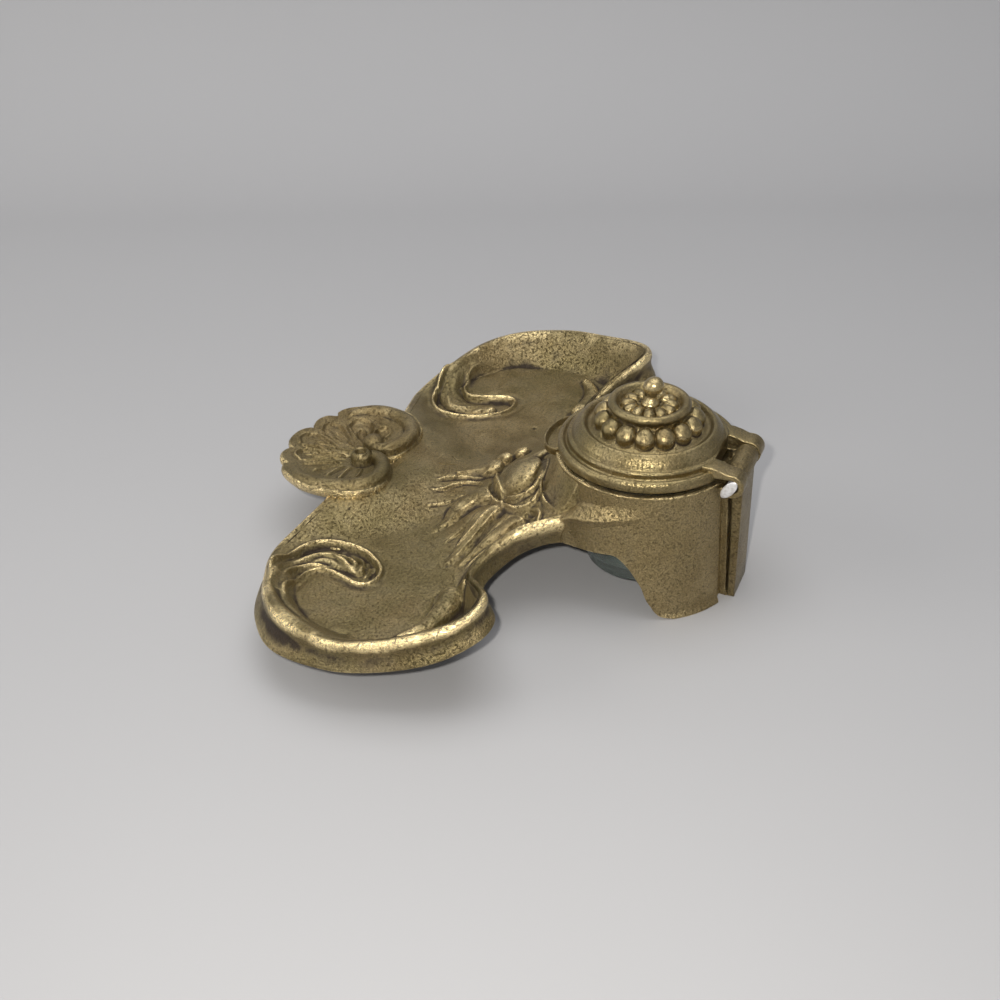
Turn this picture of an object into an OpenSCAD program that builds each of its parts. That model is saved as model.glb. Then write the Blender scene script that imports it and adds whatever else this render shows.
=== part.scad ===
// Desk inkstand: a cast pen tray with two lobes and a shell, and one hinged inkwell.
// Millimetres. +X runs along the tray, +Y to the hinge, Z = 0 is the table.
// Modules are drawn about the well's own axis and moved back by well_y at the end.

/* [Well] */
// Outer radius of the well housing at the table
housing_r = 32.9; // [32:0.1:35]
// Outer radius of the well housing under the lid
collar_r = 31; // [30.5:0.1:31.5]
// Height of the collar's top above the table
collar_h = 47.4; // [44:0.2:52]
// Wall thickness of the castings
wall = 2.6; // [2.2:0.1:3]
// Height of the opening under each side of the housing
arch_h = 24.7; // [22:0.1:26]

/* [Lid] */
// Outer radius of the lid's rim
lid_r = 30; // [28:0.5:30]
// Gap between the collar and the lid's rim
lid_gap = 0.8; // [0.4:0.1:1.2]
// Number of gadroon beads in the large ring
beads = 16; // [12:1:18]
// Number of beads round the finial
small_beads = 14; // [10:1:16]

/* [Hinge] */
// Distance of the hinge axis behind the well's axis
hinge_y = 32.4; // [31.5:0.1:33]
// Radius of the rolled hinge eyes
eye_r = 4.3; // [4:0.1:4.6]
// Radius of the hinge pin
pin_r = 1.5; // [1.2:0.1:1.8]
// Half width of the centre knuckle and its back plate
knuckle_w = 8; // [6:0.1:8]
// Half width over the lid's two arms
arms_w = 14.9; // [13:0.1:15]

/* [Tray] */
// Height of the tray's floor above the table
floor_h = 17; // [15:0.5:19]
// Distance from the well's axis to the tip of the shell
shell_reach = 138; // [134:1:142]
// Radius of the scallop shell
shell_r = 30; // [29:0.5:31]

/* [Glass] */
// Outer radius of the glass well
glass_r = 20; // [18:0.5:21]
// Height of the glass's foot above the table
glass_h = 7; // [6:0.5:9]

/* [Hidden] */
$fn = 64;
lid_z = collar_h + lid_gap;               // underside of the lid's rim
axis_z = lid_z - 0.3;                     // height of the hinge axis
well_y = (shell_reach - hinge_y - eye_r) / 2;
pin_fit = 0.06;                           // running clearance of the pin
side_gap = 0.25;                          // play between knuckle and arms
shelf_z = collar_h - 3.6;                 // top of the shelf that carries the glass

brass = "#a8935a";

// ---- curves -------------------------------------------------------------

// Catmull-Rom point between b and c
function blend(a, b, c, d, t) =
    0.5 * (2 * b + (c - a) * t + (2 * a - 5 * b + 4 * c - d) * t * t
    + (3 * b - a - 3 * c + d) * t * t * t);

// Smooth open path through the points, n steps to a span
function open_curve(p, n) = concat([
    for (i = [0 : len(p) - 2], k = [0 : n - 1])
        blend(p[max(i - 1, 0)], p[i], p[i + 1], p[min(i + 2, len(p) - 1)], k / n)
], [p[len(p) - 1]]);

function unit(v) = v / max(norm(v), 1e-6);
function ease(t) = let (c = min(max(t, 0), 1)) c * c * (3 - 2 * c);

// Round bar along a path of [x, y, z, radius] points, with flat ends
module bar(path, n = 8) {
    m = len(path);
    hoops = [for (i = [0 : m - 1]) let (
        a = path[max(i - 1, 0)], b = path[min(i + 1, m - 1)], p = path[i],
        d = unit([b.x - a.x, b.y - a.y, b.z - a.z]),
        s = unit(cross(d, [0, 0, 1])), u = cross(s, d))
        [for (k = [0 : n - 1]) let (q = 360 * k / n)
            [p.x, p.y, p.z] + p[3] * (cos(q) * s + sin(q) * u)]];
    points = [for (r = hoops, p = r) p];
    sides = [for (j = [0 : m - 2], k = [0 : n - 1]) let (l = (k + 1) % n)
        each [[j * n + k, j * n + l, (j + 1) * n + l], [j * n + k, (j + 1) * n + l, (j + 1) * n + k]]];
    polyhedron(points, concat(sides,
        [[for (k = [n - 1 : -1 : 0]) k]], [[for (k = [0 : n - 1]) (m - 1) * n + k]]), convexity = 6);
}

// Leaf of round-edged metal through three points: [x, y, z, radius]
module leaf(p) {
    for (i = [0, 1]) hull() for (q = [p[i], p[i + 1]])
        translate([q.x, q.y, q.z]) sphere(q[3], $fn = 8);
}

module both_sides() {
    children();
    mirror([1, 0, 0]) children();
}

// ---- pen tray -----------------------------------------------------------

// Rim on the +X half: [crest x, y, z, then the skirt's lower edge x, y, z, then the roll's width].
// Front edge, from the middle of the shell to the tip of the lobe
rim_front = [
    [0, -110, 20.5, 0, -108, 15, 20],
    [16, -109, 21, 16, -107, 15, 20],
    [31, -107, 25.5, 30.5, -105, 15, 20],
    [45, -110, 22, 44, -106.5, 13.5, 20],
    [60, -114, 18.5, 58.5, -110, 12.5, 18],
    [76, -110, 20, 74.5, -106, 12.5, 16],
    [92, -101, 24, 91, -99.5, 13, 18],
    [106, -88, 25.5, 104.5, -88.5, 14, 20],
];
// Back edge, from the tip of the lobe round its corner and along the arch to the well
rim_back = [
    [113.5, -68, 28, 109.5, -68, 15.5, 21],
    [111, -48, 32, 105.5, -50, 17, 20],
    [102, -34.5, 34.5, 100.5, -35, 21, 18],
    [91, -27, 36.5, 91.5, -24.5, 25.5, 16],
    [81, -26.5, 37, 81, -23.5, 26.5, 14],
    [70, -34.5, 31, 69, -31, 24, 11],
    [60, -40, 26, 58.5, -36.5, 20.5, 8],
    [48, -38.2, 28, 47, -36, 19.5, 6.5],
    [38.5, -31.5, 31, 37.5, -31.5, 21.2, 5],
    [33.5, -23, 33, 32.6, -23.4, 24, 4.5],
    [23.5, -22, 43.5, 22.5, -22.5, 20, 6],
    [12, -29.3, 46.8, 12, -29.2, 20, 6],
];
well_front = [0, -31.6, 47, 0, -31.6, 20, 6];
quarter = 24;                             // points on each quarter of the rim

function mirrored(p) = [-p.x, p.y, p.z, -p[3], p[4], p[5], p[6]];
rim = concat(rim_front, rim_back, [well_front],
    [for (i = [len(rim_back) - 1 : -1 : 0]) mirrored(rim_back[i])],
    [for (i = [len(rim_front) - 1 : -1 : 1]) mirrored(rim_front[i])]);

// Spans of the front get 3 steps and those of the back 2, so both have one count
function rim_steps(i) = let (f = len(rim_front), b = len(rim_back))
    i < f ? quarter / f : i < f + 2 * b ? quarter / b : quarter / f;
rim_loop = [for (i = [0 : len(rim) - 1], k = [0 : rim_steps(i) - 1]) let (n = len(rim))
    blend(rim[(i + n - 1) % n], rim[i], rim[(i + 1) % n], rim[(i + 2) % n], k / rim_steps(i))];
ring_n = 4 * quarter;

// Outward direction of the rim in plan
function rim_out(i) = let (
    a = rim_loop[(i + ring_n - 1) % ring_n], b = rim_loop[(i + 1) % ring_n])
    unit([b.y - a.y, a.x - b.x, 0]);
function at_well(p) = norm([p.x, p.y]) < 35;

// The rim's sections run out from a straight spine; front and back share its points
spine_half = 72;
spine_y = -68;
function spine_step(i) = let (q = quarter) i <= q ? i : i <= 3 * q ? 2 * q - i : i - 4 * q;
function spine_x(i) = spine_half * spine_step(i) / quarter;

// Height of the floor, which climbs to the well's pedestal and swells under the shell
function floor_z(x, y) = let (s = min(max((78 - norm([x, y])) / 41.5, 0), 1))
    floor_h + 19 * pow(s, 1.6) + 6 * ease((48 - norm([x, y + 110])) / 22);
// Height added by the rim's roll at distance d inside its crest: steep at its foot, round on top
function rim_lift(p, x, y) = let (
    d = min(norm([p.x - x, p.y - y]) / p[6], 1),
    top = at_well(p) ? 0 : 0.085 * p[6])
    (p.z - floor_z(x, y)) * (1 - pow(d, at_well(p) ? 1 : 1.8)) + top * sin(180 * min(2.2 * d, 1));

rows = [0.5, 0.64, 0.77, 0.87, 0.95, 1];
under_rows = [0.95, 0.87, 0.77, 0.64, 0.5];
// Section of the skirt: share of the drop, share of the way to the lower edge in plan, bulge
skirt = [[0.14, 0, 0.11], [0.34, 0.08, 0.14], [0.58, 0.5, 0.05], [0.82, 0.95, -0.01], [1, 1, 0]];
seat_gap = 0.25;                          // facets of the tray clear the housing's curve

function housing_radius(z) = housing_r + (collar_r - housing_r) * z / collar_h;
// Point at q and height z on the housing's wall, or at q itself when that is farther out
function on_wall(q, z, snap, inset) = let (r = housing_radius(z) + seat_gap + inset)
    snap || norm(q) < r ? [r * unit(q).x, r * unit(q).y, z] : [q.x, q.y, z];
function top_point(i, t, sink) = let (
    p = rim_loop[i], mx = spine_x(i),
    x = mx + (p.x - mx) * t, y = spine_y + (p.y - spine_y) * t)
    on_wall([x, y], floor_z(x, y) + rim_lift(p, x, y) - sink, false, 0);
function skirt_point(i, s, inset) = let (
    p = rim_loop[i], o = rim_out(i), drop = p.z - p[5], b = s[2] * drop - inset,
    q = [p.x + (p[3] - p.x) * s[1] + o.x * b, p.y + (p[4] - p.y) * s[1] + o.y * b])
    on_wall(q, p.z - s[0] * drop, norm([p.x, p.y]) < 33.5, inset);

module tray_skin() {
    q = quarter;
    n = ring_n;
    shells = concat(
        [for (t = rows) [for (i = [0 : n - 1]) top_point(i, t, 0)]],
        [for (s = skirt) [for (i = [0 : n - 1]) skirt_point(i, s, 0)]],
        [for (k = [len(skirt) - 1 : -1 : 0]) [for (i = [0 : n - 1]) skirt_point(i, skirt[k], wall)]],
        [for (t = under_rows) [for (i = [0 : n - 1]) top_point(i, t, wall)]]);
    spine_top = [for (i = [-q : q]) top_point(i < 0 ? i + n : i, 0, 0)];
    spine_low = [for (i = [-q : q]) top_point(i < 0 ? i + n : i, 0, wall)];
    m = 2 * q + 1;
    base = 2 * m;
    last = base + (len(shells) - 1) * n;
    points = concat(spine_top, spine_low, [for (r = shells, p = r) p]);
    walls = [for (j = [0 : len(shells) - 2], i = [0 : n - 1]) let (
        k = (i + 1) % n, a = base + j * n, b = a + n)
        each [[a + i, b + k, b + i], [a + i, a + k, b + k]]];
    top = [for (i = [0 : n - 1]) let (k = (i + 1) % n, s = q + spine_step(i), t = q + spine_step(k))
        each s == t ? [[s, base + k, base + i]] : [[s, base + k, base + i], [s, t, base + k]]];
    low = [for (i = [0 : n - 1]) let (k = (i + 1) % n, s = m + q + spine_step(i), t = m + q + spine_step(k))
        each [[s, last + i, last + k], [s, last + k, t]]];
    polyhedron(points, concat(walls, top, low), convexity = 10);
}

// Raised scroll that leaves the front edge and curls into the lobe, and its inner lip
scroll = [[78, -108, 20, 2], [66, -108.5, 18.5, 2.4], [56, -104, 17.5, 2.2], [50.5, -96, 17.2, 2],
    [50, -87, 17.2, 2], [54, -79, 17.2, 2], [61, -75.5, 17.3, 2.1], [66, -78, 17.3, 1.8], [66, -83, 17, 1.2]];
scroll_lip = [[66, -81, 17, 1.1], [64.5, -88, 17, 1.3], [69, -95, 17.5, 1.4], [77, -98.5, 18.5, 1.3],
    [86, -96, 19.5, 1]];
scroll_leaves = [
    [[71, -103, 18, 1.2], [60, -97, 17.2, 1.9], [57, -85, 17, 1]],
    [[73, -100, 18, 1], [63.5, -94, 17.2, 1.5], [61.5, -84, 17, 0.9]],
];
// Rounded boss that ends the inner ridge near the back corner of the lobe
boss = [[96, -56, 24, 1.5], [90, -48, 22.5, 3], [82, -43, 20.5, 3.6], [75, -43, 18, 3], [71, -45, 16.5, 1.4]];

module scroll_work() {
    bar(open_curve(scroll, 3));
    bar(open_curve(scroll_lip, 2));
    for (p = scroll_leaves) leaf(p);
    bar(open_curve(boss, 2));
}

// Leaves and boss in front of the well. Every point is [x, y, height above the floor, radius].
// Flame leaves that sweep from the well's pedestal across the floor, root to tip
flames = [
    [[-2, -57, 0, 1.8], [-1, -65, 0, 1.8], [3, -74, -0.3, 1.2], [7, -79, -0.8, 0.5]],
    [[7, -58, 0, 1.6], [11, -65, 0, 1.7], [16, -72, -0.3, 1.2], [20, -77, -0.8, 0.5]],
    [[14, -53, 0.2, 2], [19, -60, 0, 2.2], [26, -63.5, -0.2, 1.5], [32, -67, -0.8, 0.5]],
    [[22, -46, 0.2, 2], [32, -49, 0, 2.3], [41, -52.5, -0.2, 1.6], [49, -56, -0.8, 0.5]],
    [[32, -37, 0.2, 1.5], [38, -41.5, 0, 1.6], [45, -43.5, -0.2, 1.2], [52, -48, -0.8, 0.5]],
];
egg = [[-6, -49, -0.5, 3], [0, -46.5, -0.2, 5], [6, -44, 0, 6], [12, -41.5, 0, 5], [18, -39, -0.2, 2.4]];
cradle = [[-14, -45, 0, 1], [-7, -54, 0, 1.2], [4, -54, 0, 1.4], [14, -48, 0, 1.5], [20, -41, 0, 1.4],
    [17, -33, 0, 0.9]];
berries = [[-17.5, -56, -1.2, 3.2], [-9, -58.5, -1.2, 3.6], [-24.5, -50.5, -1, 2.6]];

function on_floor(p) = [p.x, p.y, floor_z(p.x, p.y) + p.z, p[3]];
function along_floor(path, n) = [for (p = open_curve(path, n)) on_floor(p)];

module flame_work() {
    for (f = flames) bar(along_floor(f, 3), 6);
    bar(along_floor(egg, 2), 12);
    bar(along_floor(cradle, 3), 6);
    for (b = berries) let (p = on_floor(b)) translate([p.x, p.y, p.z]) sphere(p[3], $fn = 12);
}

// Scallop shell on the front edge: a fan of lobes round its hinge point
shell_mid = [0, -107];
shell_lobes = 7;
shell_cols = 42;
shell_rows = [0.12, 0.38, 0.62, 0.82, 0.94, 1];

function shell_wave(q) = abs(sin(shell_lobes * (q + 90) * 180 / 220 + 90));
function shell_point(c, t, sink) = let (
    q = -200 + 220 * c / shell_cols, w = shell_wave(q),
    r = t * (shell_r + (shell_reach - shell_r + shell_mid.y) * w - 2 * (1 - w)),
    x = shell_mid.x + r * cos(q), y = shell_mid.y + r * sin(q),
    bowl = 23.5 + 3.5 * t * t + 1.6 * t * (w - 0.6),
    foot = y > -112 ? 15.5 : bowl - 3)
    [x, y, sink ? min(foot, bowl - 3) : bowl - (t == 1 ? 1.4 : 0)];

module shell_fan() {
    n = shell_cols + 1;
    m = len(shell_rows);
    points = [for (sink = [false, true], t = shell_rows, c = [0 : shell_cols]) shell_point(c, t, sink)];
    lower = m * n;
    top = [for (j = [0 : m - 2], c = [0 : n - 2]) let (a = j * n + c, b = a + n)
        each [[a, a + 1, b + 1], [a, b + 1, b]]];
    low = [for (j = [0 : m - 2], c = [0 : n - 2]) let (a = lower + j * n + c, b = a + n)
        each [[a, b + 1, a + 1], [a, b, b + 1]]];
    front = [for (c = [0 : n - 2]) let (a = (m - 1) * n + c)
        each [[a, a + 1, lower + a + 1], [a, lower + a + 1, lower + a]]];
    heel = [for (c = [0 : n - 2])
        each [[c, lower + c + 1, c + 1], [c, lower + c, lower + c + 1]]];
    start = [for (j = [0 : m - 2]) let (a = j * n, b = a + n)
        each [[a, b, lower + b], [a, lower + b, lower + a]]];
    stop = [for (j = [0 : m - 2]) let (a = j * n + n - 1, b = a + n)
        each [[a, lower + b, b], [a, lower + a, lower + b]]];
    polyhedron(points, concat(top, low, front, heel, start, stop), convexity = 8);
}

volute = [[5, -108, 25, 1.8], [2.8, -104, 25.5, 2.2], [5, -99, 25.5, 2.8], [12, -95.4, 25.5, 3.2],
    [20, -96.4, 25.6, 3.2], [26, -103, 25.6, 3], [28.4, -111.5, 25.6, 3], [28.6, -119, 25.1, 2.6],
    [25, -125.5, 24.5, 1.6]];

module shell_work() {
    shell_fan();
    both_sides() bar(open_curve(volute, 3));
    both_sides() translate([5, -108, 26]) sphere(2.4, $fn = 12);
}

// Cast feet under the front of the lobes
foot_at = [46, -96];
module front_feet() {
    both_sides() translate([foot_at.x, foot_at.y, 0]) cylinder(floor_h - 1, 5, 4, $fn = 24);
}

module pen_tray() {
    color(brass) union() {
        tray_skin();
        both_sides() scroll_work();
        flame_work();
        shell_work();
        front_feet();
    }
}

// ---- well housing -------------------------------------------------------

function arc(middle, r, from, to, n = 8) = [for (k = [0 : n]) let (q = from + (to - from) * k / n)
    middle + r * [cos(q), sin(q)]];

// Side view of the opening under the housing: a low arch in front, a round shoulder,
// a steep slope and a foot that sweeps out to the table
module arch_profile() {
    top = [-4, arch_h];
    low_r = 34;
    shoulder_r = 9;
    slope = 61;
    foot_r = 6;
    front = arc(top - [0, low_r], low_r, 124, 90);
    shoulder = arc(top - [0, shoulder_r], shoulder_r, 90, 90 - slope);
    heel = shoulder[len(shoulder) - 1];
    foot_top = foot_r * (1 - cos(slope));
    foot_y = heel.x + (heel.y - foot_top) / tan(slope);
    foot = arc([foot_y + foot_r * sin(slope), foot_r], foot_r, 270 - slope, 270, 6);
    polygon(concat([[-60, -1], [-60, front[0].y]], front, shoulder, foot,
        [[foot[6].x + 0.01, -1]]));
}

module well_housing() {
    color(brass) difference() {
        union() {
            difference() {
                cylinder(collar_h, housing_r, collar_r, $fn = 96);
                translate([0, 0, -1]) cylinder(collar_h + 2, housing_r - wall + 0.04, collar_r - wall - 0.04, $fn = 96);
            }
            // shelf that the glass hangs from
            translate([0, 0, shelf_z - 2.4]) difference() {
                cylinder(2.4, collar_r - 1.5, collar_r - 1.5);
                translate([0, 0, -1]) cylinder(5, glass_r + 0.4, glass_r + 0.4);
            }
        }
        rotate([90, 0, 90]) translate([0, 0, -60]) linear_extrude(120) arch_profile();
        // room for the lid's two eyes, and a groove beside the plate
        both_sides() {
            translate([knuckle_w, hinge_y, axis_z]) rotate([0, 90, 0])
                cylinder(arms_w + side_gap - knuckle_w, eye_r + side_gap, eye_r + side_gap);
            translate([knuckle_w, housing_r - 1.8, -1]) cube([3, 5, collar_h - 2]);
        }
    }
}

// ---- hinge --------------------------------------------------------------

post_y = housing_r + 2.2;                 // back face of the hinge's plate
barrel_r = eye_r - 0.4;
tenon_r = 1.6;                            // the finial's tenon, riveted in the crown

module hinge_post() {
    color(brass) difference() {
        union() {
            translate([-knuckle_w, 20, 0]) cube([2 * knuckle_w, post_y - 20, axis_z]);
            translate([-knuckle_w, hinge_y, axis_z]) rotate([0, 90, 0]) cylinder(2 * knuckle_w, barrel_r, barrel_r);
        }
        // the plate sits on the housing's wall
        cylinder(collar_h, housing_r, collar_r);
        translate([-20, hinge_y, axis_z]) rotate([0, 90, 0]) cylinder(40, pin_r + pin_fit, pin_r + pin_fit);
    }
}

module hinge_pin() {
    color("silver") {
        translate([-arms_w - 0.4, hinge_y, axis_z]) rotate([0, 90, 0]) cylinder(2 * arms_w + 0.8, pin_r, pin_r);
    }
}

// ---- lid ----------------------------------------------------------------

// Right half of the lid's section, height from the rim's underside
module lid_profile() {
    difference() {
        union() {
            // rim torus, small step and the wide bowed band
            translate([lid_r - 2.1, 2.1]) circle(2.1, $fn = 40);
            square([lid_r - 2.1, 4.2]);
            polygon([[0, 2], [26.2, 2], [26.2, 5.3], [25, 7.3], [22.8, 8.6], [21, 8.9], [20, 7.6], [0, 7.6]]);
            // slope that carries the gadroon, and the ring round the finial
            polygon([[0, 7], [20, 7.6], [14.4, 13.6], [13.1, 15.4], [13.7, 17], [0, 17]]);
            translate([12.7, 17]) circle(1, $fn = 24);
        }
        // groove inside the rim
        translate([27, 4.5]) circle(0.9, $fn = 20);
        // recess round the finial
        translate([0, 16.2]) square([11.6, 5]);
        // hollow underside
        translate([0, -1]) square([lid_r - 5, 4]);
        polygon([[0, 2.9], [24, 2.9], [20, 4.8], [15, 6.5], [9.6, 13.4], [0, 13.4]]);
        translate([-50, -50]) square([50, 100]);
    }
}

// Bead of the gadroon, longer along the radius
module bead(r, len) {
    rotate([0, 90, 0]) cylinder(len, r, r, center = true, $fn = 24);
    for (s = [-1, 1]) translate([s * len / 2, 0, 0]) sphere(r, $fn = 24);
}

module arm() {
    inner = knuckle_w + side_gap;
    difference() {
        union() {
            translate([inner, 22, axis_z + eye_r - 2.2]) cube([arms_w - inner, hinge_y - 22, 2.2]);
            translate([inner, hinge_y, axis_z]) rotate([0, 90, 0]) cylinder(arms_w - inner, eye_r, eye_r);
        }
        translate([inner - 1, hinge_y, axis_z]) rotate([0, 90, 0]) cylinder(20, pin_r + pin_fit, pin_r + pin_fit);
    }
}

module thumb_lip() {
    difference() {
        translate([0, -29, 0]) cylinder(2.6, 9, 10);
        translate([0, -29.6, 1.2]) cylinder(2.6, 7.4, 8.2);
        translate([0, 0, -1]) cylinder(6, lid_r - 1.5, lid_r - 1.5);
    }
}

module lid() {
    color(brass) {
        difference() {
            union() {
                translate([0, 0, lid_z]) {
                    rotate_extrude($fn = 96) lid_profile();
                    thumb_lip();
                    for (i = [0 : beads - 1]) rotate(360 * (i + 0.5) / beads)
                        translate([16.6, 0, 11.4]) rotate([0, 42, 0]) bead(3.1, 2.2);
                    for (i = [0 : small_beads - 1]) rotate(360 * (i + 0.5) / small_beads)
                        translate([7.3, 0, 16.6]) rotate([0, 10, 0]) bead(1.4, 2);
                }
                both_sides() arm();
            }
            // the rim is cut away between the arms, behind the knuckle
            translate([-knuckle_w - side_gap, 25.4, axis_z - 4]) cube([2 * (knuckle_w + side_gap), 10, 12]);
            // the finial's tenon passes through the crown
            translate([0, 0, lid_z]) cylinder(40, tenon_r, tenon_r);
            // notch that turns round the centre knuckle
            translate([-knuckle_w - side_gap, hinge_y, axis_z]) rotate([0, 90, 0])
                cylinder(2 * (knuckle_w + side_gap), barrel_r + side_gap, barrel_r + side_gap);
        }
    }
}

module finial() {
    color(brass) translate([0, 0, lid_z]) {
        translate([0, 0, 12.6]) cylinder(12, tenon_r, tenon_r);
        translate([0, 0, 16.2]) cylinder(2.4, 3.2, 1.7);
        translate([0, 0, 23.9]) sphere(2.9);
    }
}

// ---- glass --------------------------------------------------------------

module glass_well() {
    bore = glass_r - 2;
    color("lightcyan") difference() {
        union() {
            translate([0, 0, glass_h]) cylinder(shelf_z - glass_h, glass_r, glass_r);
            translate([0, 0, shelf_z]) cylinder(2.2, glass_r + 4, glass_r + 4);
        }
        translate([0, 0, glass_h + 3]) cylinder(60, bore, bore);
    }
}

translate([0, well_y, 0]) pen_tray();
translate([0, well_y, 0]) well_housing();
translate([0, well_y, 0]) hinge_post();
translate([0, well_y, 0]) lid();
translate([0, well_y, 0]) finial();
translate([0, well_y, 0]) hinge_pin();
translate([0, well_y, 0]) glass_well();
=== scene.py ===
# Desk inkstand: a cast pen tray with a hinged inkwell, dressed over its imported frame
import bpy
import math
import numpy as np
from mathutils import Vector, Matrix


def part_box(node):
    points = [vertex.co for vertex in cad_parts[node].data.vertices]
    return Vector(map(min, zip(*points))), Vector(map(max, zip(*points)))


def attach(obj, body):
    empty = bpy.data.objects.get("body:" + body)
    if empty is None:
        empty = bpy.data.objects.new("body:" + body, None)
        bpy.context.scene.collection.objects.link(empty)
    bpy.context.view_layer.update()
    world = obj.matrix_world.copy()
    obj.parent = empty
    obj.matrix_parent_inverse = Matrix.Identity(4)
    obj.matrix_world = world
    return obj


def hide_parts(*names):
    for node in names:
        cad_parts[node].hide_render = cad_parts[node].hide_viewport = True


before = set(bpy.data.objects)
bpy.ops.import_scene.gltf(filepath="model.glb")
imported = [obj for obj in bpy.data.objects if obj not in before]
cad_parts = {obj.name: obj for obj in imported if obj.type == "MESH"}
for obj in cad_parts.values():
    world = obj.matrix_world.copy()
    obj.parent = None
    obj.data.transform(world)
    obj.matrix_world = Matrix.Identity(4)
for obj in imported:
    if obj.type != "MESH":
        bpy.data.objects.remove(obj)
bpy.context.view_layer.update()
mm = 0.001

# Every shape is in millimetres about the well's axis
wellLow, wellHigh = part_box("glass_well")
wellY = (wellLow.y + wellHigh.y) / 2 / mm
pinLow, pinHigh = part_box("hinge_pin")
hy = (pinLow.y + pinHigh.y) / 2 / mm - wellY
hz = (pinLow.z + pinHigh.z) / 2 / mm
lidZ = hz + 0.3  # underside of the lid's rim
print("frame read: well at", round(wellY, 2), "hinge at", round(hy, 2), round(hz, 2))


# Vectors divided by their length.
def unit(v):
    return v / np.maximum(np.linalg.norm(v, axis=-1, keepdims=True), 1e-9)


# Catmull-Rom curve: each span blends its four nearest points, in one number of steps or one for each span.
def catmull(points, steps, closed=False):
    p = np.asarray(points, float)
    n = len(p)
    spans = n if closed else n - 1
    steps = np.full(spans, steps) if np.isscalar(steps) else np.asarray(steps)
    out = []
    for i in range(spans):
        pick = [(i + k) % n if closed else min(max(i + k, 0), n - 1) for k in (-1, 0, 1, 2)]
        a, b, c, d = p[pick]
        t = (np.arange(steps[i]) / steps[i])[:, None]
        out.append(0.5 * (2 * b + (c - a) * t + (2 * a - 5 * b + 4 * c - d) * t ** 2
                          + (3 * b - a - 3 * c + d) * t ** 3))
    if not closed:
        out.append(p[-1:])
    return np.vstack(out)


# Eased step from 0 to 1: three times the square less twice the cube.
def smooth(t):
    t = np.clip(t, 0, 1)
    return t * t * (3 - 2 * t)


# Half circle: the root of one less the square.
def dome(t):
    return np.sqrt(np.clip(1 - t ** 2, 0, 1))


# Bell: e to the power of minus the square.
def bell(t):
    return np.exp(-t ** 2)


# Cross product of each face's diagonals, summed at its corners.
def vertexNormals(v, quads):
    a, b, c, d = (v[quads[:, k]] for k in range(4))
    faceNormal = np.cross(c - a, d - b)
    out = np.zeros_like(v)
    for k in range(4):
        np.add.at(out, quads[:, k], faceNormal)
    return unit(out)


# Well millimetres to the frame's metres.
def toScene(v):
    return (v + np.array([0, wellY, 0])) * mm


# Gives a mesh its material and puts it in the scene as one object.
def addObject(name, mesh, material):
    mesh.materials.append(material)
    piece = bpy.data.objects.new(name, mesh)
    bpy.context.scene.collection.objects.link(piece)
    return piece


# Points in well millimetres and quads to one object. A repeated corner makes a triangle.
def makePiece(name, v, quads, material, normals=None, attributes=None, smoothShade=True):
    used = np.unique(quads)
    index = np.full(len(v), -1)
    index[used] = np.arange(len(used))
    quads, v = index[quads], v[used]
    repeated = (quads == np.roll(quads, -1, 1)).any(1)
    whole = quads[~repeated]
    corners = [[q[k] for k in range(4) if q[k] != q[(k + 1) % 4]] for q in quads[repeated]]
    triangles = np.array([q for q in corners if len(set(q)) == 3], int).reshape(-1, 3)
    loops = np.concatenate([whole.ravel(), triangles.ravel()])
    sizes = np.repeat([4, 3], [len(whole), len(triangles)])
    mesh = bpy.data.meshes.new(name)
    mesh.vertices.add(len(v))
    mesh.vertices.foreach_set("co", toScene(v).astype(np.float32).ravel())
    mesh.loops.add(len(loops))
    mesh.loops.foreach_set("vertex_index", loops.astype(np.int32))
    mesh.polygons.add(len(sizes))
    starts = np.concatenate([[0], np.cumsum(sizes)[:-1]])
    mesh.polygons.foreach_set("loop_start", starts.astype(np.int32))
    mesh.polygons.foreach_set("use_smooth", np.full(len(sizes), smoothShade))
    mesh.update(calc_edges=True)
    mesh.validate()
    if normals is not None:
        mesh.normals_split_custom_set_from_vertices(normals[used].astype(np.float32).tolist())
    for key, values in (attributes or {}).items():
        layer = mesh.attributes.new(key, "FLOAT", "POINT")
        layer.data.foreach_set("value", values[used].astype(np.float32))
    return addObject(name, mesh, material)


# Quads between the points of a grid, numbered row by row.
def gridQuads(rows, cols, wrapRows=False, wrapCols=False, flip=False):
    r = np.arange(rows if wrapRows else rows - 1)[:, None]
    c = np.arange(cols if wrapCols else cols - 1)[None, :]
    r1, c1 = (r + 1) % rows, (c + 1) % cols
    q = np.stack([r * cols + c, r * cols + c1, r1 * cols + c1, r1 * cols + c], -1).reshape(-1, 4)
    return q[:, ::-1] if flip else q


# Repeated 1-2-1 averaging along both directions of a grid whose columns close on themselves.
def blurGrid(h, amount):
    for _ in range(amount):
        h = (np.roll(h, 1, 1) + 2 * h + np.roll(h, -1, 1)) / 4
        e = np.pad(h, ((1, 1), (0, 0)), mode="edge")
        h = (e[:-2] + 2 * h + e[2:]) / 4
    return h


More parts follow.
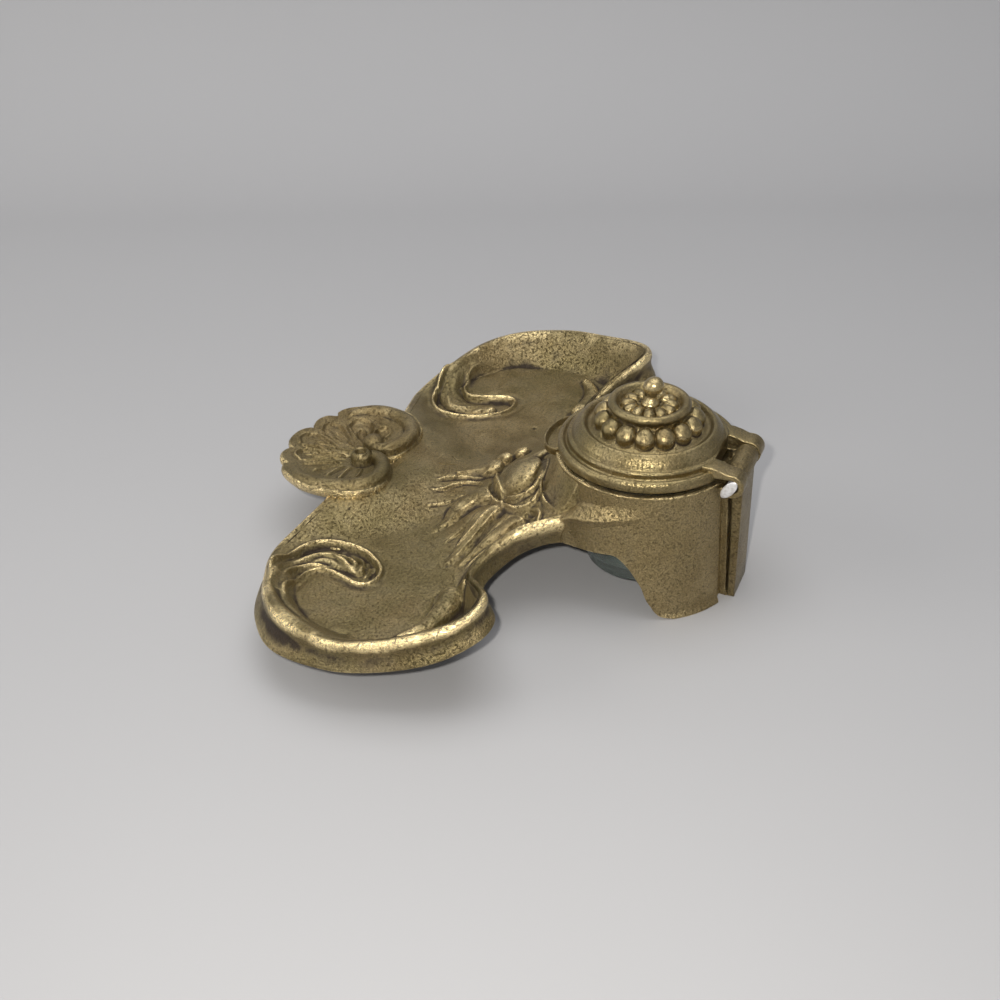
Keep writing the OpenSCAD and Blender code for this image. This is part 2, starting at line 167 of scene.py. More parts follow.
# Distance of each point to a smooth path, share of the way along it, and side: 1 left of the path, -1 right.
def pathDistance(x, y, path, steps=6):
    p = catmull(path, steps)
    length = np.concatenate([[0], np.cumsum(np.linalg.norm(np.diff(p[:, :2], axis=0), axis=1))])
    best, along, side = np.full(x.shape, 1e9), np.zeros(x.shape), np.zeros(x.shape)
    for i in range(len(p) - 1):
        a, b = p[i, :2], p[i + 1, :2]
        d = b - a
        t = np.clip(((x - a[0]) * d[0] + (y - a[1]) * d[1]) / max(d @ d, 1e-9), 0, 1)
        ex, ey = x - a[0] - d[0] * t, y - a[1] - d[1] * t
        dist = np.hypot(ex, ey)
        closer = dist < best
        best = np.where(closer, dist, best)
        along = np.where(closer, (length[i] + (length[i + 1] - length[i]) * t) / length[-1], along)
        side = np.where(closer, np.sign(d[0] * ey - d[1] * ex), side)
    return best, along, side


print("helpers ready")

# Colours of the brass, size of its grain in millimetres and depth in metres, scales of its tones. The patina colour
# is also the painted shade of the hollows.
finish = dict(
    tarnish=(0.215, 0.158, 0.072), pale=(0.345, 0.268, 0.138), polished=(0.92, 0.73, 0.38),
    patinaAndShade=(0.030, 0.018, 0.007), green=(0.16, 0.14, 0.060), copper=(0.32, 0.16, 0.065),
    grainSize=0.62, grainDepth=0.0004, driftScale=95.0, stainScale=26.0,
)


# New node, placed below or beside the one made before it.
def addNode(tree, kind, inputs=None, **settings):
    node = tree.nodes.new(kind)
    count = len(tree.nodes)
    node.location = (200 * (count // 4), -220 * (count % 4))
    for key, value in settings.items():
        setattr(node, key, value)
    for key, value in (inputs or {}).items():
        if isinstance(value, bpy.types.NodeSocket):
            tree.links.new(value, node.inputs[key])
        else:
            node.inputs[key].default_value = value
    return node


# Sum, difference, product or quotient of two values.
def mathNode(tree, operation, a, b, clamp=False):
    return addNode(tree, "ShaderNodeMath", {0: a, 1: b}, operation=operation, use_clamp=clamp).outputs[0]


# Eased step of a value from one range to another.
def remap(tree, value, low, high, outLow=0.0, outHigh=1.0):
    ranges = {"Value": value, "From Min": low, "From Max": high, "To Min": outLow, "To Max": outHigh}
    return addNode(tree, "ShaderNodeMapRange", ranges, interpolation_type="SMOOTHSTEP").outputs["Result"]


# Colour that goes from the first to the second with the share.
def mixColor(tree, share, a, b, blend="MIX"):
    a, b = (value if isinstance(value, bpy.types.NodeSocket) else (*value, 1) for value in (a, b))
    return addNode(tree, "ShaderNodeMix", {0: share, 6: a, 7: b}, data_type="RGBA", blend_type=blend).outputs[2]


# Cloudy noise from 0 to 1, finer with a larger scale.
def noiseNode(tree, coords, scale, detail, roughness=0.5, distortion=0.0):
    return addNode(tree, "ShaderNodeTexNoise", {"Vector": coords, "Scale": scale, "Detail": detail,
                   "Roughness": roughness, "Distortion": distortion}).outputs["Fac"]


# Normal of a surface dented by a height of 0 to 1 times the distance in metres.
def bumpNode(tree, height, distance):
    inputs = {"Height": height, "Strength": 1.0, "Distance": distance}
    return addNode(tree, "ShaderNodeBump", inputs).outputs["Normal"]


# Node group with its sockets: the tree, what it is given and what it gives.
def newGroup(name, takes, gives):
    tree = bpy.data.node_groups.new(name, "ShaderNodeTree")
    for key in takes:
        kind = "NodeSocketVector" if key == "Vector" else "NodeSocketFloat"
        tree.interface.new_socket(name=key, in_out="INPUT", socket_type=kind)
    for key in gives:
        tree.interface.new_socket(name=key, in_out="OUTPUT", socket_type="NodeSocketFloat")
    return tree, addNode(tree, "NodeGroupInput").outputs, addNode(tree, "NodeGroupOutput").inputs


# Sand-cast skin: height of the grain less its pin holes, slow drifts and stains of tone, and the grain's shade.
def castGrain():
    tree, start, end = newGroup("castGrain", ("Vector", "Size"), ("Height", "Speckle", "Drift", "Stain", "Shade"))
    coords = start["Vector"]
    scale = mathNode(tree, "DIVIDE", 1000.0, start["Size"])
    grain = noiseNode(tree, coords, scale, 3.0, 0.6)
    pits = noiseNode(tree, coords, mathNode(tree, "MULTIPLY", scale, 0.62), 4.0, 0.7)
    drift = noiseNode(tree, coords, finish["driftScale"], 4.0, 0.6)
    stain = noiseNode(tree, coords, finish["stainScale"], 3.0, 0.55, 0.6)
    speckle = remap(tree, pits, 0.53, 0.64)
    tree.links.new(mathNode(tree, "SUBTRACT", grain, mathNode(tree, "MULTIPLY", speckle, 0.5)), end["Height"])
    tree.links.new(speckle, end["Speckle"])
    tree.links.new(remap(tree, drift, 0.3, 0.7), end["Drift"])
    tree.links.new(remap(tree, stain, 0.35, 0.68), end["Stain"])
    tree.links.new(remap(tree, grain, 0.36, 0.64, 0.8, 1.2), end["Shade"])
    return tree


# Polish on crests, and patina with painted shade in hollows: the two maps of crests and hollows added up and moved by
# the drift of tone.
def edgeWearAndShade():
    tree, start, end = newGroup("edgeWearAndShade", ("Fine", "Broad", "Drift", "Speckle"), ("Polish", "PatinaAndShade"))
    wander = remap(tree, start["Drift"], 0.0, 1.0, -0.25, 0.25)
    raised = mathNode(tree, "ADD", mathNode(tree, "MULTIPLY", start["Fine"], 0.75),
                      mathNode(tree, "MULTIPLY", start["Broad"], 0.35))
    polish = remap(tree, mathNode(tree, "ADD", raised, wander), 0.2, 1.05)
    polish = mathNode(tree, "SUBTRACT", polish, mathNode(tree, "MULTIPLY", start["Speckle"], 0.25), True)
    low = mathNode(tree, "MULTIPLY", raised, -1.0)
    patinaAndShade = remap(tree, mathNode(tree, "ADD", low, wander), 0.05, 0.68)
    tree.links.new(polish, end["Polish"])
    tree.links.new(patinaAndShade, end["PatinaAndShade"])
    return tree


grainGroup, wearShadeGroup = castGrain(), edgeWearAndShade()


# Empty material, its node tree and the object's coordinates.
def newMaterial(name):
    material = bpy.data.materials.new(name)
    material.use_nodes = True
    tree = material.node_tree
    tree.nodes.clear()
    return material, tree, addNode(tree, "ShaderNodeTexCoord").outputs["Object"]


# Surface with these inputs, joined to the material's output.
def addShader(tree, inputs):
    shader = addNode(tree, "ShaderNodeBsdfPrincipled", inputs)
    tree.links.new(shader.outputs[0], addNode(tree, "ShaderNodeOutputMaterial").inputs[0])


# Tarnished cast brass. Its tone follows the drift and the stain, brightens with the polish and browns with the pin
# holes and with the patina mask, which is real patina and painted shade in the hollows.
# Where it is patina and painted shade the brass is rougher and less metallic, polish is smoother.
def brass(name, darken=0.0, grain=1.0, warm=0.0, polishAll=0.0, roughness=0.36, bump=1.0, fleck=0.45):
    material, tree, coords = newMaterial(name)
    skin = addNode(tree, "ShaderNodeGroup", {"Vector": coords, "Size": finish["grainSize"] * grain},
                   node_tree=grainGroup).outputs
    fine, broad = (addNode(tree, "ShaderNodeAttribute", attribute_name=key).outputs["Fac"]
                   for key in ("fine", "broad"))
    wearAndShade = addNode(tree, "ShaderNodeGroup", {"Fine": fine, "Broad": broad, "Drift": skin["Drift"],
                   "Speckle": skin["Speckle"]}, node_tree=wearShadeGroup).outputs
    polish, patinaAndShade = wearAndShade["Polish"], wearAndShade["PatinaAndShade"]
    if polishAll:
        polish = mathNode(tree, "ADD", polish, polishAll, True)
    color = mixColor(tree, skin["Drift"], finish["tarnish"], finish["pale"])
    color = mixColor(tree, mathNode(tree, "MULTIPLY", skin["Stain"], 0.45), color, finish["green"])
    if warm:
        color = mixColor(tree, mathNode(tree, "MULTIPLY", skin["Stain"], warm), color, finish["copper"])
    color = mixColor(tree, polish, color, finish["polished"])
    # Patina mask: real patina and painted shade darken the hollows to dark brown.
    color = mixColor(tree, patinaAndShade, color, finish["patinaAndShade"])
    dark = mathNode(tree, "ADD", mathNode(tree, "MULTIPLY", skin["Speckle"], fleck), darken, True)
    color = mixColor(tree, dark, color, finish["patinaAndShade"])
    color = mixColor(tree, 1.0, color, skin["Shade"], "MULTIPLY")
    rough = mathNode(tree, "ADD", mathNode(tree, "MULTIPLY", patinaAndShade, 0.25), roughness)
    rough = mathNode(tree, "SUBTRACT", rough, mathNode(tree, "MULTIPLY", polish, 0.17), True)
    metal = mathNode(tree, "SUBTRACT", 0.95, mathNode(tree, "MULTIPLY", patinaAndShade, 0.6), True)
    normal = bumpNode(tree, skin["Height"], finish["grainDepth"] * bump)
    addShader(tree, {"Base Color": color, "Roughness": rough, "Metallic": metal, "Normal": normal})
    return material


# Two colours mixed by a noise, which also dents the surface if a depth in metres is given.
def plainMaterial(name, scale, detail, colors, sockets, depth=0.0, spread=None):
    material, tree, coords = newMaterial(name)
    noise = noiseNode(tree, coords, scale, detail)
    inputs = {"Base Color": mixColor(tree, remap(tree, noise, *spread) if spread else noise, *colors), **sockets}
    if depth:
        inputs["Normal"] = bumpNode(tree, noise, depth)
    addShader(tree, inputs)
    return material


print("materials ready")

# Pen tray. Rim on the +X half: crest x, y, z, the skirt's lower edge x, y, z, then the width of the roll.
tray = dict(
    columns=1440, rows=136, floorHeight=17, pedestalRise=19, pedestalFoot=78, pedestalRun=41.5,
    collarRise=11.4, collarFoot=37, collarRun=6.4, shellRise=6, shellCentre=-110, wall=2.2,
    spineHalf=72, spineY=-68, farStretch=0.03, farOut=3, farUp=3.6,
    front=[(0, -110, 20.5, 0, -108, 15, 20), (16, -109, 21, 16, -107, 15, 20), (31, -107, 23, 30.5, -105, 15, 20),
           (45, -110, 20.6, 44, -107.5, 13.5, 20), (60, -113, 17.8, 60, -113.5, 12.5, 16),
           (75.5, -107, 21, 77, -110.5, 12.5, 10), (90.5, -98.5, 23.6, 92.5, -103, 13.2, 9.5),
           (101.3, -86, 24.6, 105.3, -89.5, 14, 11)],
    back=[(106.8, -67.5, 25.3, 109.5, -68, 15.5, 14), (103.8, -50.7, 27.5, 105.8, -50.5, 17, 13),
          (97, -35, 31.5, 100.5, -35, 21, 13), (89.8, -27.8, 34, 91.5, -24.5, 25.5, 13),
          (80.8, -27.2, 35, 81, -23.5, 26.5, 14), (70, -34.5, 31, 69, -31, 24, 15),
          (60, -40, 26, 58.5, -36.5, 20.5, 8), (48, -38.2, 28, 47, -36, 19.5, 6.5),
          (38.5, -31.5, 31.8, 37.5, -31.5, 21.2, 5), (34, -23.6, 34.2, 32.8, -23.6, 24, 4.2),
          (26.6, -13.4, 37, 26.6, -13.4, 24, 1.6), (21.5, -19.5, 46.8, 21.5, -19.5, 24, 1.6)],
    atWell=(0, -29.6, 47, 0, -29.6, 24, 1.6),
)


# Closed crest line, mirrored in x, with the same number of columns on each quarter.
def rimLoop():
    front, back = np.array(tray["front"], float), np.array(tray["back"], float)
    mirror = np.array([-1, 1, 1, -1, 1, 1, 1])
    points = np.vstack([front, back, [tray["atWell"]], back[::-1] * mirror, front[:0:-1] * mirror])
    quarter = tray["columns"] // 4
    f, b = quarter // len(front), quarter // len(back)
    ring = catmull(points, [f] * len(front) + [b] * (2 * len(back)) + [f] * len(front), closed=True)
    far = np.clip((-ring[:, 0] - 60) / 50, 0, 1)
    ring[:, 0] -= tray["farOut"] * far
    ring[:, 2] += tray["farUp"] * far
    return ring


# Floor that climbs to the well as a power of the distance, flares up its collar, and swells round the shell.
def floorHeight(x, y):
    r = np.hypot(x, y)
    shellR = np.hypot(x, y - tray["shellCentre"])
    pedestal = np.clip((tray["pedestalFoot"] - r) / tray["pedestalRun"], 0, 1) ** 1.6
    collar = np.clip((tray["collarFoot"] - r) / tray["collarRun"], 0, 1) ** 1.6
    return tray["floorHeight"] + tray["pedestalRise"] * pedestal + tray["collarRise"] * collar \
        + tray["shellRise"] * smooth((48 - shellR) / 22) * smooth((shellR - 6) / 12)


# Raised work on the floor. Each path is x, y points from root to tip, in the order given.
hookLip = [(88, -104), (83.5, -105), (76, -107.5), (69.5, -107.5), (65, -107),
           (61, -106.5), (56, -105.5), (52.5, -103.5), (50, -101), (48.4, -98), (47.8, -94.5), (47.8, -90.5),
           (48.5, -86.5), (50, -82.5), (52.5, -79), (55, -76), (58, -74), (61, -73.2), (64, -73.5),
           (66.3, -74.6), (67.5, -77), (67.4, -79.5), (66.5, -82), (65.5, -85), (64.5, -88), (64, -91),
           (64.4, -93.6), (66, -95.6), (68.5, -97), (71.5, -97.4), (74.5, -98), (77.5, -98.5), (80.5, -98),
           (83.5, -96.2), (86, -93.5)]
plume = [(84, -101.5), (77.5, -104), (71, -103.8), (65, -102), (60, -98.5), (57, -93.5), (56.7, -87.8), (58.6, -82.2)]
flutes = [
    [(76, -102), (70.5, -101.5), (66, -100.2), (62.5, -97), (61.2, -92.5), (61.6, -88.5)],
    [(66, -104), (60.5, -101), (56, -98), (54.8, -93), (56, -89.5), (58, -86.5), (60.8, -83.8)],
    [(52.6, -96), (52.3, -91), (53.5, -88), (55.5, -84.8), (57, -83)],
    [(51, -87.5), (52.5, -84), (54.5, -82.3), (57.5, -81.2), (62, -80)],
    [(54, -80.5), (57.5, -79.2), (62, -78.6)],
]
dishFoot = [(68.1, -99.5), (73.9, -101.1), (78, -102.2), (83.5, -100), (89, -94.6), (92.8, -87.6), (94.4, -80.8),
            (94.2, -75.0), (92.7, -69.9), (90.5, -64.5)]
lobeBoss = [(65, -45.2), (72, -45.2), (79, -46.4), (84.6, -48.8), (89, -52.2)]
bossRidge = [(61.5, -44.2), (63.6, -42.4), (69.6, -40.4), (77.5, -40.2), (84.2, -44.5)]

# Flame leaves: crest from root to tip, height at the root, width of the body beside the crest
flameLeaves = [
    ([(15.6, -50.6), (15.6, -53.6), (16.4, -56.8), (20.4, -60.2), (25.5, -62.6), (30.6, -66.2)], 3.0, 8.4),
    ([(23.4, -43), (24.6, -44.6), (26.9, -45.9), (31.6, -47.8), (37.3, -49.9), (42.4, -51.8),
      (47.6, -54.2)], 3.0, 7.4),
    ([(33.4, -32.6), (31.4, -33), (29.8, -36.1), (30.2, -39.2), (33.9, -42.5), (38, -45.6), (42, -47.6),
      (47.4, -49.8)], 2.4, -5.2),
]
threads = [  # thin ridges: path, height, width, share of the length over which each end fades
    ([(-4.2, -57.8), (-2.4, -61.7), (-2.4, -68.2), (0.9, -73.2), (6, -78.1)], 1.3, 0.75, 0.25),
    ([(4.6, -57), (2.2, -60.6), (1, -65.6), (3.8, -70), (8.4, -73.4), (11.2, -78)], 1.2, 0.7, 0.25),
    ([(7.4, -63.4), (9.7, -66.1), (14.5, -69.3), (18.4, -76)], 0.8, 0.6, 0.25),
    ([(20.4, -53), (22.4, -53.6), (27.5, -54.8), (32.2, -57.2), (37.8, -60.8)], 0.9, 0.65, 0.25),
    ([(22.6, -47.4), (27.4, -49.4), (32.8, -51.2), (37.6, -53.4), (43.4, -56.6)], 0.7, 0.6, 0.25),
    ([(36.6, -39.4), (40, -42.4), (44, -45), (49.4, -47.4)], 0.7, 0.6, 0.25),
    ([(-4.5, -57), (-2.3, -56.1), (4.4, -54), (10.3, -50.7), (15.4, -47.4), (18.5, -43.6), (19.6, -38.6),
      (17.2, -34.7), (11.5, -34), (5, -35.6)], 1.9, 1.05, 0.08),
    ([(13.6, -52), (16.6, -49.4), (21.7, -43.6), (25, -37.6), (24.4, -33.2), (19.6, -31.8),
      (14, -32.6)], 1.6, 1.0, 0.08),
    ([(-2.6, -37.8), (2.6, -35.2), (9.1, -32.9), (13.6, -32.8), (18.9, -31.5), (24.5, -28.3), (28.7, -23.7),
      (31.2, -18.6)], 1.2, 0.6, 0.25),
    ([(25.6, -34.6), (26.2, -32), (27.6, -29.4), (30.3, -27.8), (33.6, -28.2)], 1.3, 0.8, 0.25),
    ([(-12.8, -79), (-11.6, -74.8)], -0.4, 0.4, 0.25), ([(-5.4, -78.4), (-8.7, -74.2)], -0.4, 0.4, 0.25),
    ([(-3.8, -80.6), (-5.9, -76.4)], -0.3, 0.35, 0.25),
]
egg = dict(x=5.6, y=-45.2, turn=30, long=10.8, wide=8.6, height=4.8)
pods = [  # round bodies that shrink to a point: path, radius, height
    ([(-6.9, -60), (-6.4, -63.6), (-5, -67.6), (-3, -71.6)], 4.6, 4.2),
]
eggTail = [(1.5, -46), (-2.6, -43.2), (-6.1, -40.2), (-7.7, -36.6), (-8.2, -33)]
berries = [(-14.6, -58.4, 3.9, 3.4), (-19.4, -53.4, 3.4, 2.6)]
pits = [(28.1, -31.6, 2.1, 1.9), (-49.4, -59.4, 0.9, 0.8), (33, -98, 0.5, 0.4)]


# Which points lie in the box round a path, then their distance, share of the way along it and side.
def near(x, y, path, reach):
    low, high = np.min(path, 0) - reach, np.max(path, 0) + reach
    m = (x > low[0]) & (x < high[0]) & (y > low[1]) & (y < high[1])
    return (m, *pathDistance(x[m], y[m], path))


# A point is inside when a line from it crosses the outline an odd number of times.
def inside(x, y, outline):
    p = catmull(np.array(outline, float), 4)
    hit = np.zeros(x.shape, bool)
    for (ax, ay), (bx, by) in zip(p, np.roll(p, -1, 0)):
        if ay != by:
            hit ^= ((ay > y) != (by > y)) & (x < (bx - ax) * (y - ay) / (by - ay) + ax)
    return hit


# Rounded thread along a path: height times a bell of the distance, faded at both ends, a groove on both sides.
def addWire(h, x, y, path, height, width, taper=0.12, groove=0.0, flat=2.0):
    m, d, s, _ = near(x, y, path, 5 * width)
    fade = smooth(s / taper) * smooth((1 - s) / taper) if taper else 1
    dip = bell((d - 2.3 * width) / (1.2 * width))
    h[m] += fade * (height * np.exp(-(d / width) ** flat) - groove * dip)


# Round body beside a crest line, a thin ridge on the line and a groove beyond it. The body starts as a
# quarter circle at its root and narrows to its tip; a negative width puts it on the other side.
def addLeaf(h, x, y, path, height, width):
    m, d, s, side = near(x, y, path, abs(width) + 3)
    root = dome((1 - s / 0.22).clip(0))
    body = abs(width) * (0.6 + 0.4 * smooth(s / 0.3)) * (1 - 0.72 * smooth((s - 0.2) / 0.8)) + 0.2
    grow = root * (1 - 0.85 * smooth((s - 0.25) / 0.75))
    onBody = side * width < 0
    swell = dome(2 * np.clip(d / body, 0, 1) - 1)
    ridge = bell(d / 0.62)
    groove = np.where(onBody, bell((d - body - 0.3) / 0.8) * 0.4, bell((d - 1.7) / 0.9))
    out = height * (np.where(onBody, swell * grow, 0) + 0.42 * ridge * smooth(s / 0.08) * (1 - 0.6 * s)
                    - 0.36 * grow * groove)
    ends = bell((d - 0.4).clip(0) / 0.8)
    h[m] += np.where((s > 0.001) & (s < 0.999), out, out * ends)


# Round body along a path: a half circle across, its radius shrinking from root to tip.
def addPod(h, x, y, path, radius, height):
    m, d, s, _ = near(x, y, path, radius + 2)
    wide = radius * (1 - 0.85 * s ** 1.2)
    h[m] += height * (1 - 0.7 * s) * dome(d / wide) \
        - 0.5 * (1 - s) * bell((d - wide - 0.5) / 0.7)


# Height of all the raised and sunken work above the tray's plain surface.
def floorRelief(x, y):
    h = np.zeros(x.shape)
    ax = np.abs(x)
    # both lobes: a plume with flutes lies in a sunken bed inside a thin hooked lip
    m, d, s, _ = near(ax, y, hookLip, 4)
    sunk = inside(ax[m], y[m], hookLip) & (ax[m] < 84)
    h[m] -= np.where(sunk, 2.0 * smooth((d - 0.5) / 1.4) * smooth((84 - ax[m]) / 14), 0)
    fade = smooth((s - 0.09 * (x[m] < 0)) / 0.1) * smooth((1 - s) / 0.06)  # the far lip starts further in
    h[m] += 1.15 * np.exp(-(d / 0.8) ** 2.4) * fade - np.where(sunk, 0, 0.3 * bell((d - 2.2) / 1.2))
    m, d, s, _ = near(ax, y, plume, 8)
    radius = 5.6 * (1 - 0.55 * s ** 2) * smooth(s / 0.3 + 0.3)
    h[m] += 3.0 * (1 - 0.35 * s) * dome(d / radius) * smooth(s / 0.35)
    cut = np.zeros(x.shape)
    for path in flutes:
        addWire(cut, ax, y, path, 0.85, 0.72, 0.25, 0.7, 2.2)
    h += cut * np.where(x > 0, 1, 0.25)  # the far plume is worn nearly plain
    # dark foot of the rim's roll on the front side of the lobe
    foot = np.zeros(x.shape)
    addWire(foot, ax, y, dishFoot, -1.1, 1.3, 0.3)
    h += foot * np.where(x > 0, 1, 0.2)
    # pear-shaped boss on the inside of the back corner, in a groove bounded by a low ridge
    m, d, s, _ = near(ax, y, lobeBoss, 9)
    radius = 4.8 * (1 - 0.6 * s)
    h[m] += 4.6 * (1 - 0.6 * s) * dome(d / radius) \
        - 0.8 * (1 - 0.8 * s) * bell((d - radius - 0.7) / 0.9)
    addWire(h, ax, y, bossRidge, 0.4, 0.9, 0.5)
    # flame leaves on one side only
    for path, height, width in flameLeaves:
        addLeaf(h, x, y, path, height, width)
    # egg with a pointed tail, in its cradle of crescents
    turn = math.radians(egg["turn"])
    u = ((x - egg["x"]) * math.cos(turn) + (y - egg["y"]) * math.sin(turn)) / egg["long"]
    v = (-(x - egg["x"]) * math.sin(turn) + (y - egg["y"]) * math.cos(turn)) / egg["wide"]
    ring = np.hypot(u, v)
    d, s, _ = pathDistance(x, y, eggTail)
    tail = dome(d / (4.8 * (1 - 0.88 * s))) * (1 - 0.6 * s)
    body = dome(ring)
    h += egg["height"] * np.maximum(body, 0.72 * tail) - 1.7 * bell((ring - 1.11) / 0.1) * (tail < 0.01)
    for path, height, width, fade in threads:
        addWire(h, x, y, path, 0.8 * height, 0.66 * width, fade, 0.35 * max(height, 0))
    for path, radius, height in pods:
        addPod(h, x, y, path, radius, height)
    for bx, by, r, height in berries:
        d = np.hypot(x - bx, (y - by) * 1.1) / r
        h += height * np.sqrt(np.clip(1 - d * d, 0, 1)) - 0.6 * bell((d - 1.12) / 0.2)
    for bx, by, r, depth in pits:
        h -= depth * np.exp(-(np.hypot(x - bx, y - by) / r) ** 3)
    return h


# Top skin: straight lines from the spine (t = 0) to the crest (t = 1). The rim's roll rises either as half
# a cosine wave or, where it stands crisp, steeply from its foot with a bulge below the crest.
def traySurface():
    crest = rimLoop()
    n = len(crest)
    quarter = n // 4
    i = np.arange(n)
    step = np.where(i <= quarter, i, np.where(i <= 3 * quarter, 2 * quarter - i, i - 4 * quarter))
    spineX = tray["spineHalf"] * step / quarter
    t = np.linspace(0, 1, tray["rows"])[:, None] ** 0.96
    x = spineX + (crest[:, 0] - spineX) * t
    y = tray["spineY"] + (crest[:, 1] - tray["spineY"]) * t
    floor = floorHeight(x, y)
    side, back = np.abs(crest[:, 0]), crest[:, 1]
    atWell = 1 - smooth((np.hypot(side, back) - 29.8) / 1.8)
    lobeCrisp = smooth((side - 66) / 9) * smooth((-66 - back) / 16)
    archCrisp = smooth((66 - side) / 8) * (back > -60)
    crisp = np.maximum(lobeCrisp, archCrisp)
    away = np.hypot(crest[:, 0] - x, crest[:, 1] - y)
    d = np.minimum(away / crest[:, 6], 1)
    wave = 0.5 + 0.5 * np.cos(math.pi * d)
    swell = wave + (1 - d ** 1.8 - wave) * crisp
    bulge = 0.09 * crest[:, 6] * crisp * np.sin(math.pi * np.minimum(2.2 * d, 1)) ** 0.9
    z = floor + ((crest[:, 2] - floor) * swell + bulge) * (1 - atWell)
    z = z + floorRelief(x, y) * smooth(away / 1.2)
    crest[:, 2] = z[-1]
    return crest, np.stack([x, y, z], -1), step


crest, top, spineStep = traySurface()
print("tray surface worked out:", top.shape)

# Skirt of the tray: share of the drop, share of the way to the lower edge in plan, bulge outwards.
# It rounds over, turns in a little under the crest, then flares out to its lower edge.
skirtShares = np.array([(0.02, 0, 0.055), (0.06, 0, 0.1), (0.12, 0, 0.135), (0.2, 0, 0.155), (0.28, 0.01, 0.15),
                        (0.37, 0.05, 0.12), (0.46, 0.13, 0.085), (0.55, 0.25, 0.055), (0.64, 0.41, 0.035),
                        (0.72, 0.57, 0.02), (0.8, 0.73, 0.01), (0.88, 0.87, 0.005), (0.94, 0.95, 0),
                        (0.98, 1, 0), (1, 1, 0)])
lipInset = [0.35, 0.9, 1.6, 2.1]  # the lower edge is rounded over the thickness of the metal
lipLift = [-0.12, -0.12, 0.1, 0.6]


# The housing's radius goes evenly from the table to the collar.
wallCone = dict(low=32.9, top=31.0, height=47.4)


def housingRadius(z, height=wallCone["height"]):
    return wallCone["low"] + (wallCone["top"] - wallCone["low"]) * z / height


# Rows below the crest: the section runs from the crest to the lower edge, pushed outwards by its
# bulge times the drop. Close to the well the rows run inside the housing's wall.
def skirtRows():
    ahead, behind = np.roll(crest, -1, 0), np.roll(crest, 1, 0)
    out = unit(np.stack([ahead[:, 1] - behind[:, 1], behind[:, 0] - ahead[:, 0]], -1))
    drop = crest[:, 2] - crest[:, 5]
    atWell = 1 - smooth((np.hypot(crest[:, 0], crest[:, 1]) - 33.4) / 4)
    rows = []
    sections = [(*s, 0, 0) for s in skirtShares]
    sections += [(*skirtShares[-1], a, b) for a, b in zip(lipInset, lipLift)]
    sections += [(*s, tray["wall"], 0) for s in skirtShares[-3::-2]]
    for down, share, bulge, inset, lift in sections:
        z = crest[:, 2] - down * drop + lift
        d = bulge * drop - inset
        x = crest[:, 0] + (crest[:, 3] - crest[:, 0]) * share + out[:, 0] * d
        y = crest[:, 1] + (crest[:, 4] - crest[:, 1]) * share + out[:, 1] * d
        r = np.hypot(x, y)
        wanted = r + (housingRadius(z) - 0.5 - inset - r) * atWell
        rows.append(np.stack([x / r * wanted, y / r * wanted, z], -1))
    return np.array(rows)


# How far each point stands above the average of its surroundings along its normal, near and wide,
# squeezed to -1..1: crests are positive and hollows negative. Crests take polish; hollows take patina and painted
# shade.
def wearAndShadeMaps(grid, normals, fineSteps, broadSteps):
    maps, soft, done = {}, grid, 0
    for key, count, scale in (("fine", fineSteps, 0.42), ("broad", broadSteps, 1.6)):
        soft = np.stack([blurGrid(soft[..., k], count - done) for k in range(3)], -1)
        done = count
        maps[key] = np.tanh(((grid - soft) * normals).sum(-1) / scale)
    return maps


skirt = skirtRows()
under = top[[120, 95, 62, 30, 0]].copy()  # the hollow back follows the face, one wall below it
plain = floorHeight(under[..., 0], under[..., 1])
under[..., 2] = plain - tray["wall"] + (under[..., 2] - plain) * 0.8
skin = np.concatenate([top, skirt, under])
skin[..., 0] -= tray["farStretch"] * np.maximum(-skin[..., 0] - 50, 0)  # the far lobe is cast a little longer
rowCount, n = skin.shape[:2]
quads = gridQuads(rowCount, n, wrapCols=True, flip=True)
fold = spineStep % n  # columns that share a point of the spine
index = np.arange(rowCount * n).reshape(rowCount, n)
index[0], index[-1] = index[0][fold], index[-1][fold]
quads = index.ravel()[quads]
skinPoints = skin.reshape(-1, 3)
skinNormals = vertexNormals(skinPoints, quads).reshape(skin.shape)
skinNormals[0], skinNormals[-1] = skinNormals[0][fold], skinNormals[-1][fold]
shown = len(top) + len(skirtShares)
wearAndShade = wearAndShadeMaps(skin[:shown], skinNormals[:shown], 9, 150)
# The lip and the hollow underside, below the rows in view, take a fixed hollow value, so the material gives them its
# patina with painted shade.
wearAndShade = {k: np.concatenate([w, np.full((rowCount - shown, n), -0.3)]).ravel() for k, w in wearAndShade.items()}
isTop = quads.max(1) < len(top) * n
isNear = skinPoints[quads].mean(1)[:, 0] > 0
trayBrass = brass("cast_brass_tray")
for pieceName, chosen in (("tray_face_near", isTop & isNear), ("tray_face_far", isTop & ~isNear),
                          ("tray_skirt", ~isTop)):
    piece = makePiece(pieceName, skinPoints, quads[chosen], trayBrass, skinNormals.reshape(-1, 3), wearAndShade)
    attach(piece, "stand")
    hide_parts("pen_tray")
print("tray:", len(quads), "quads")

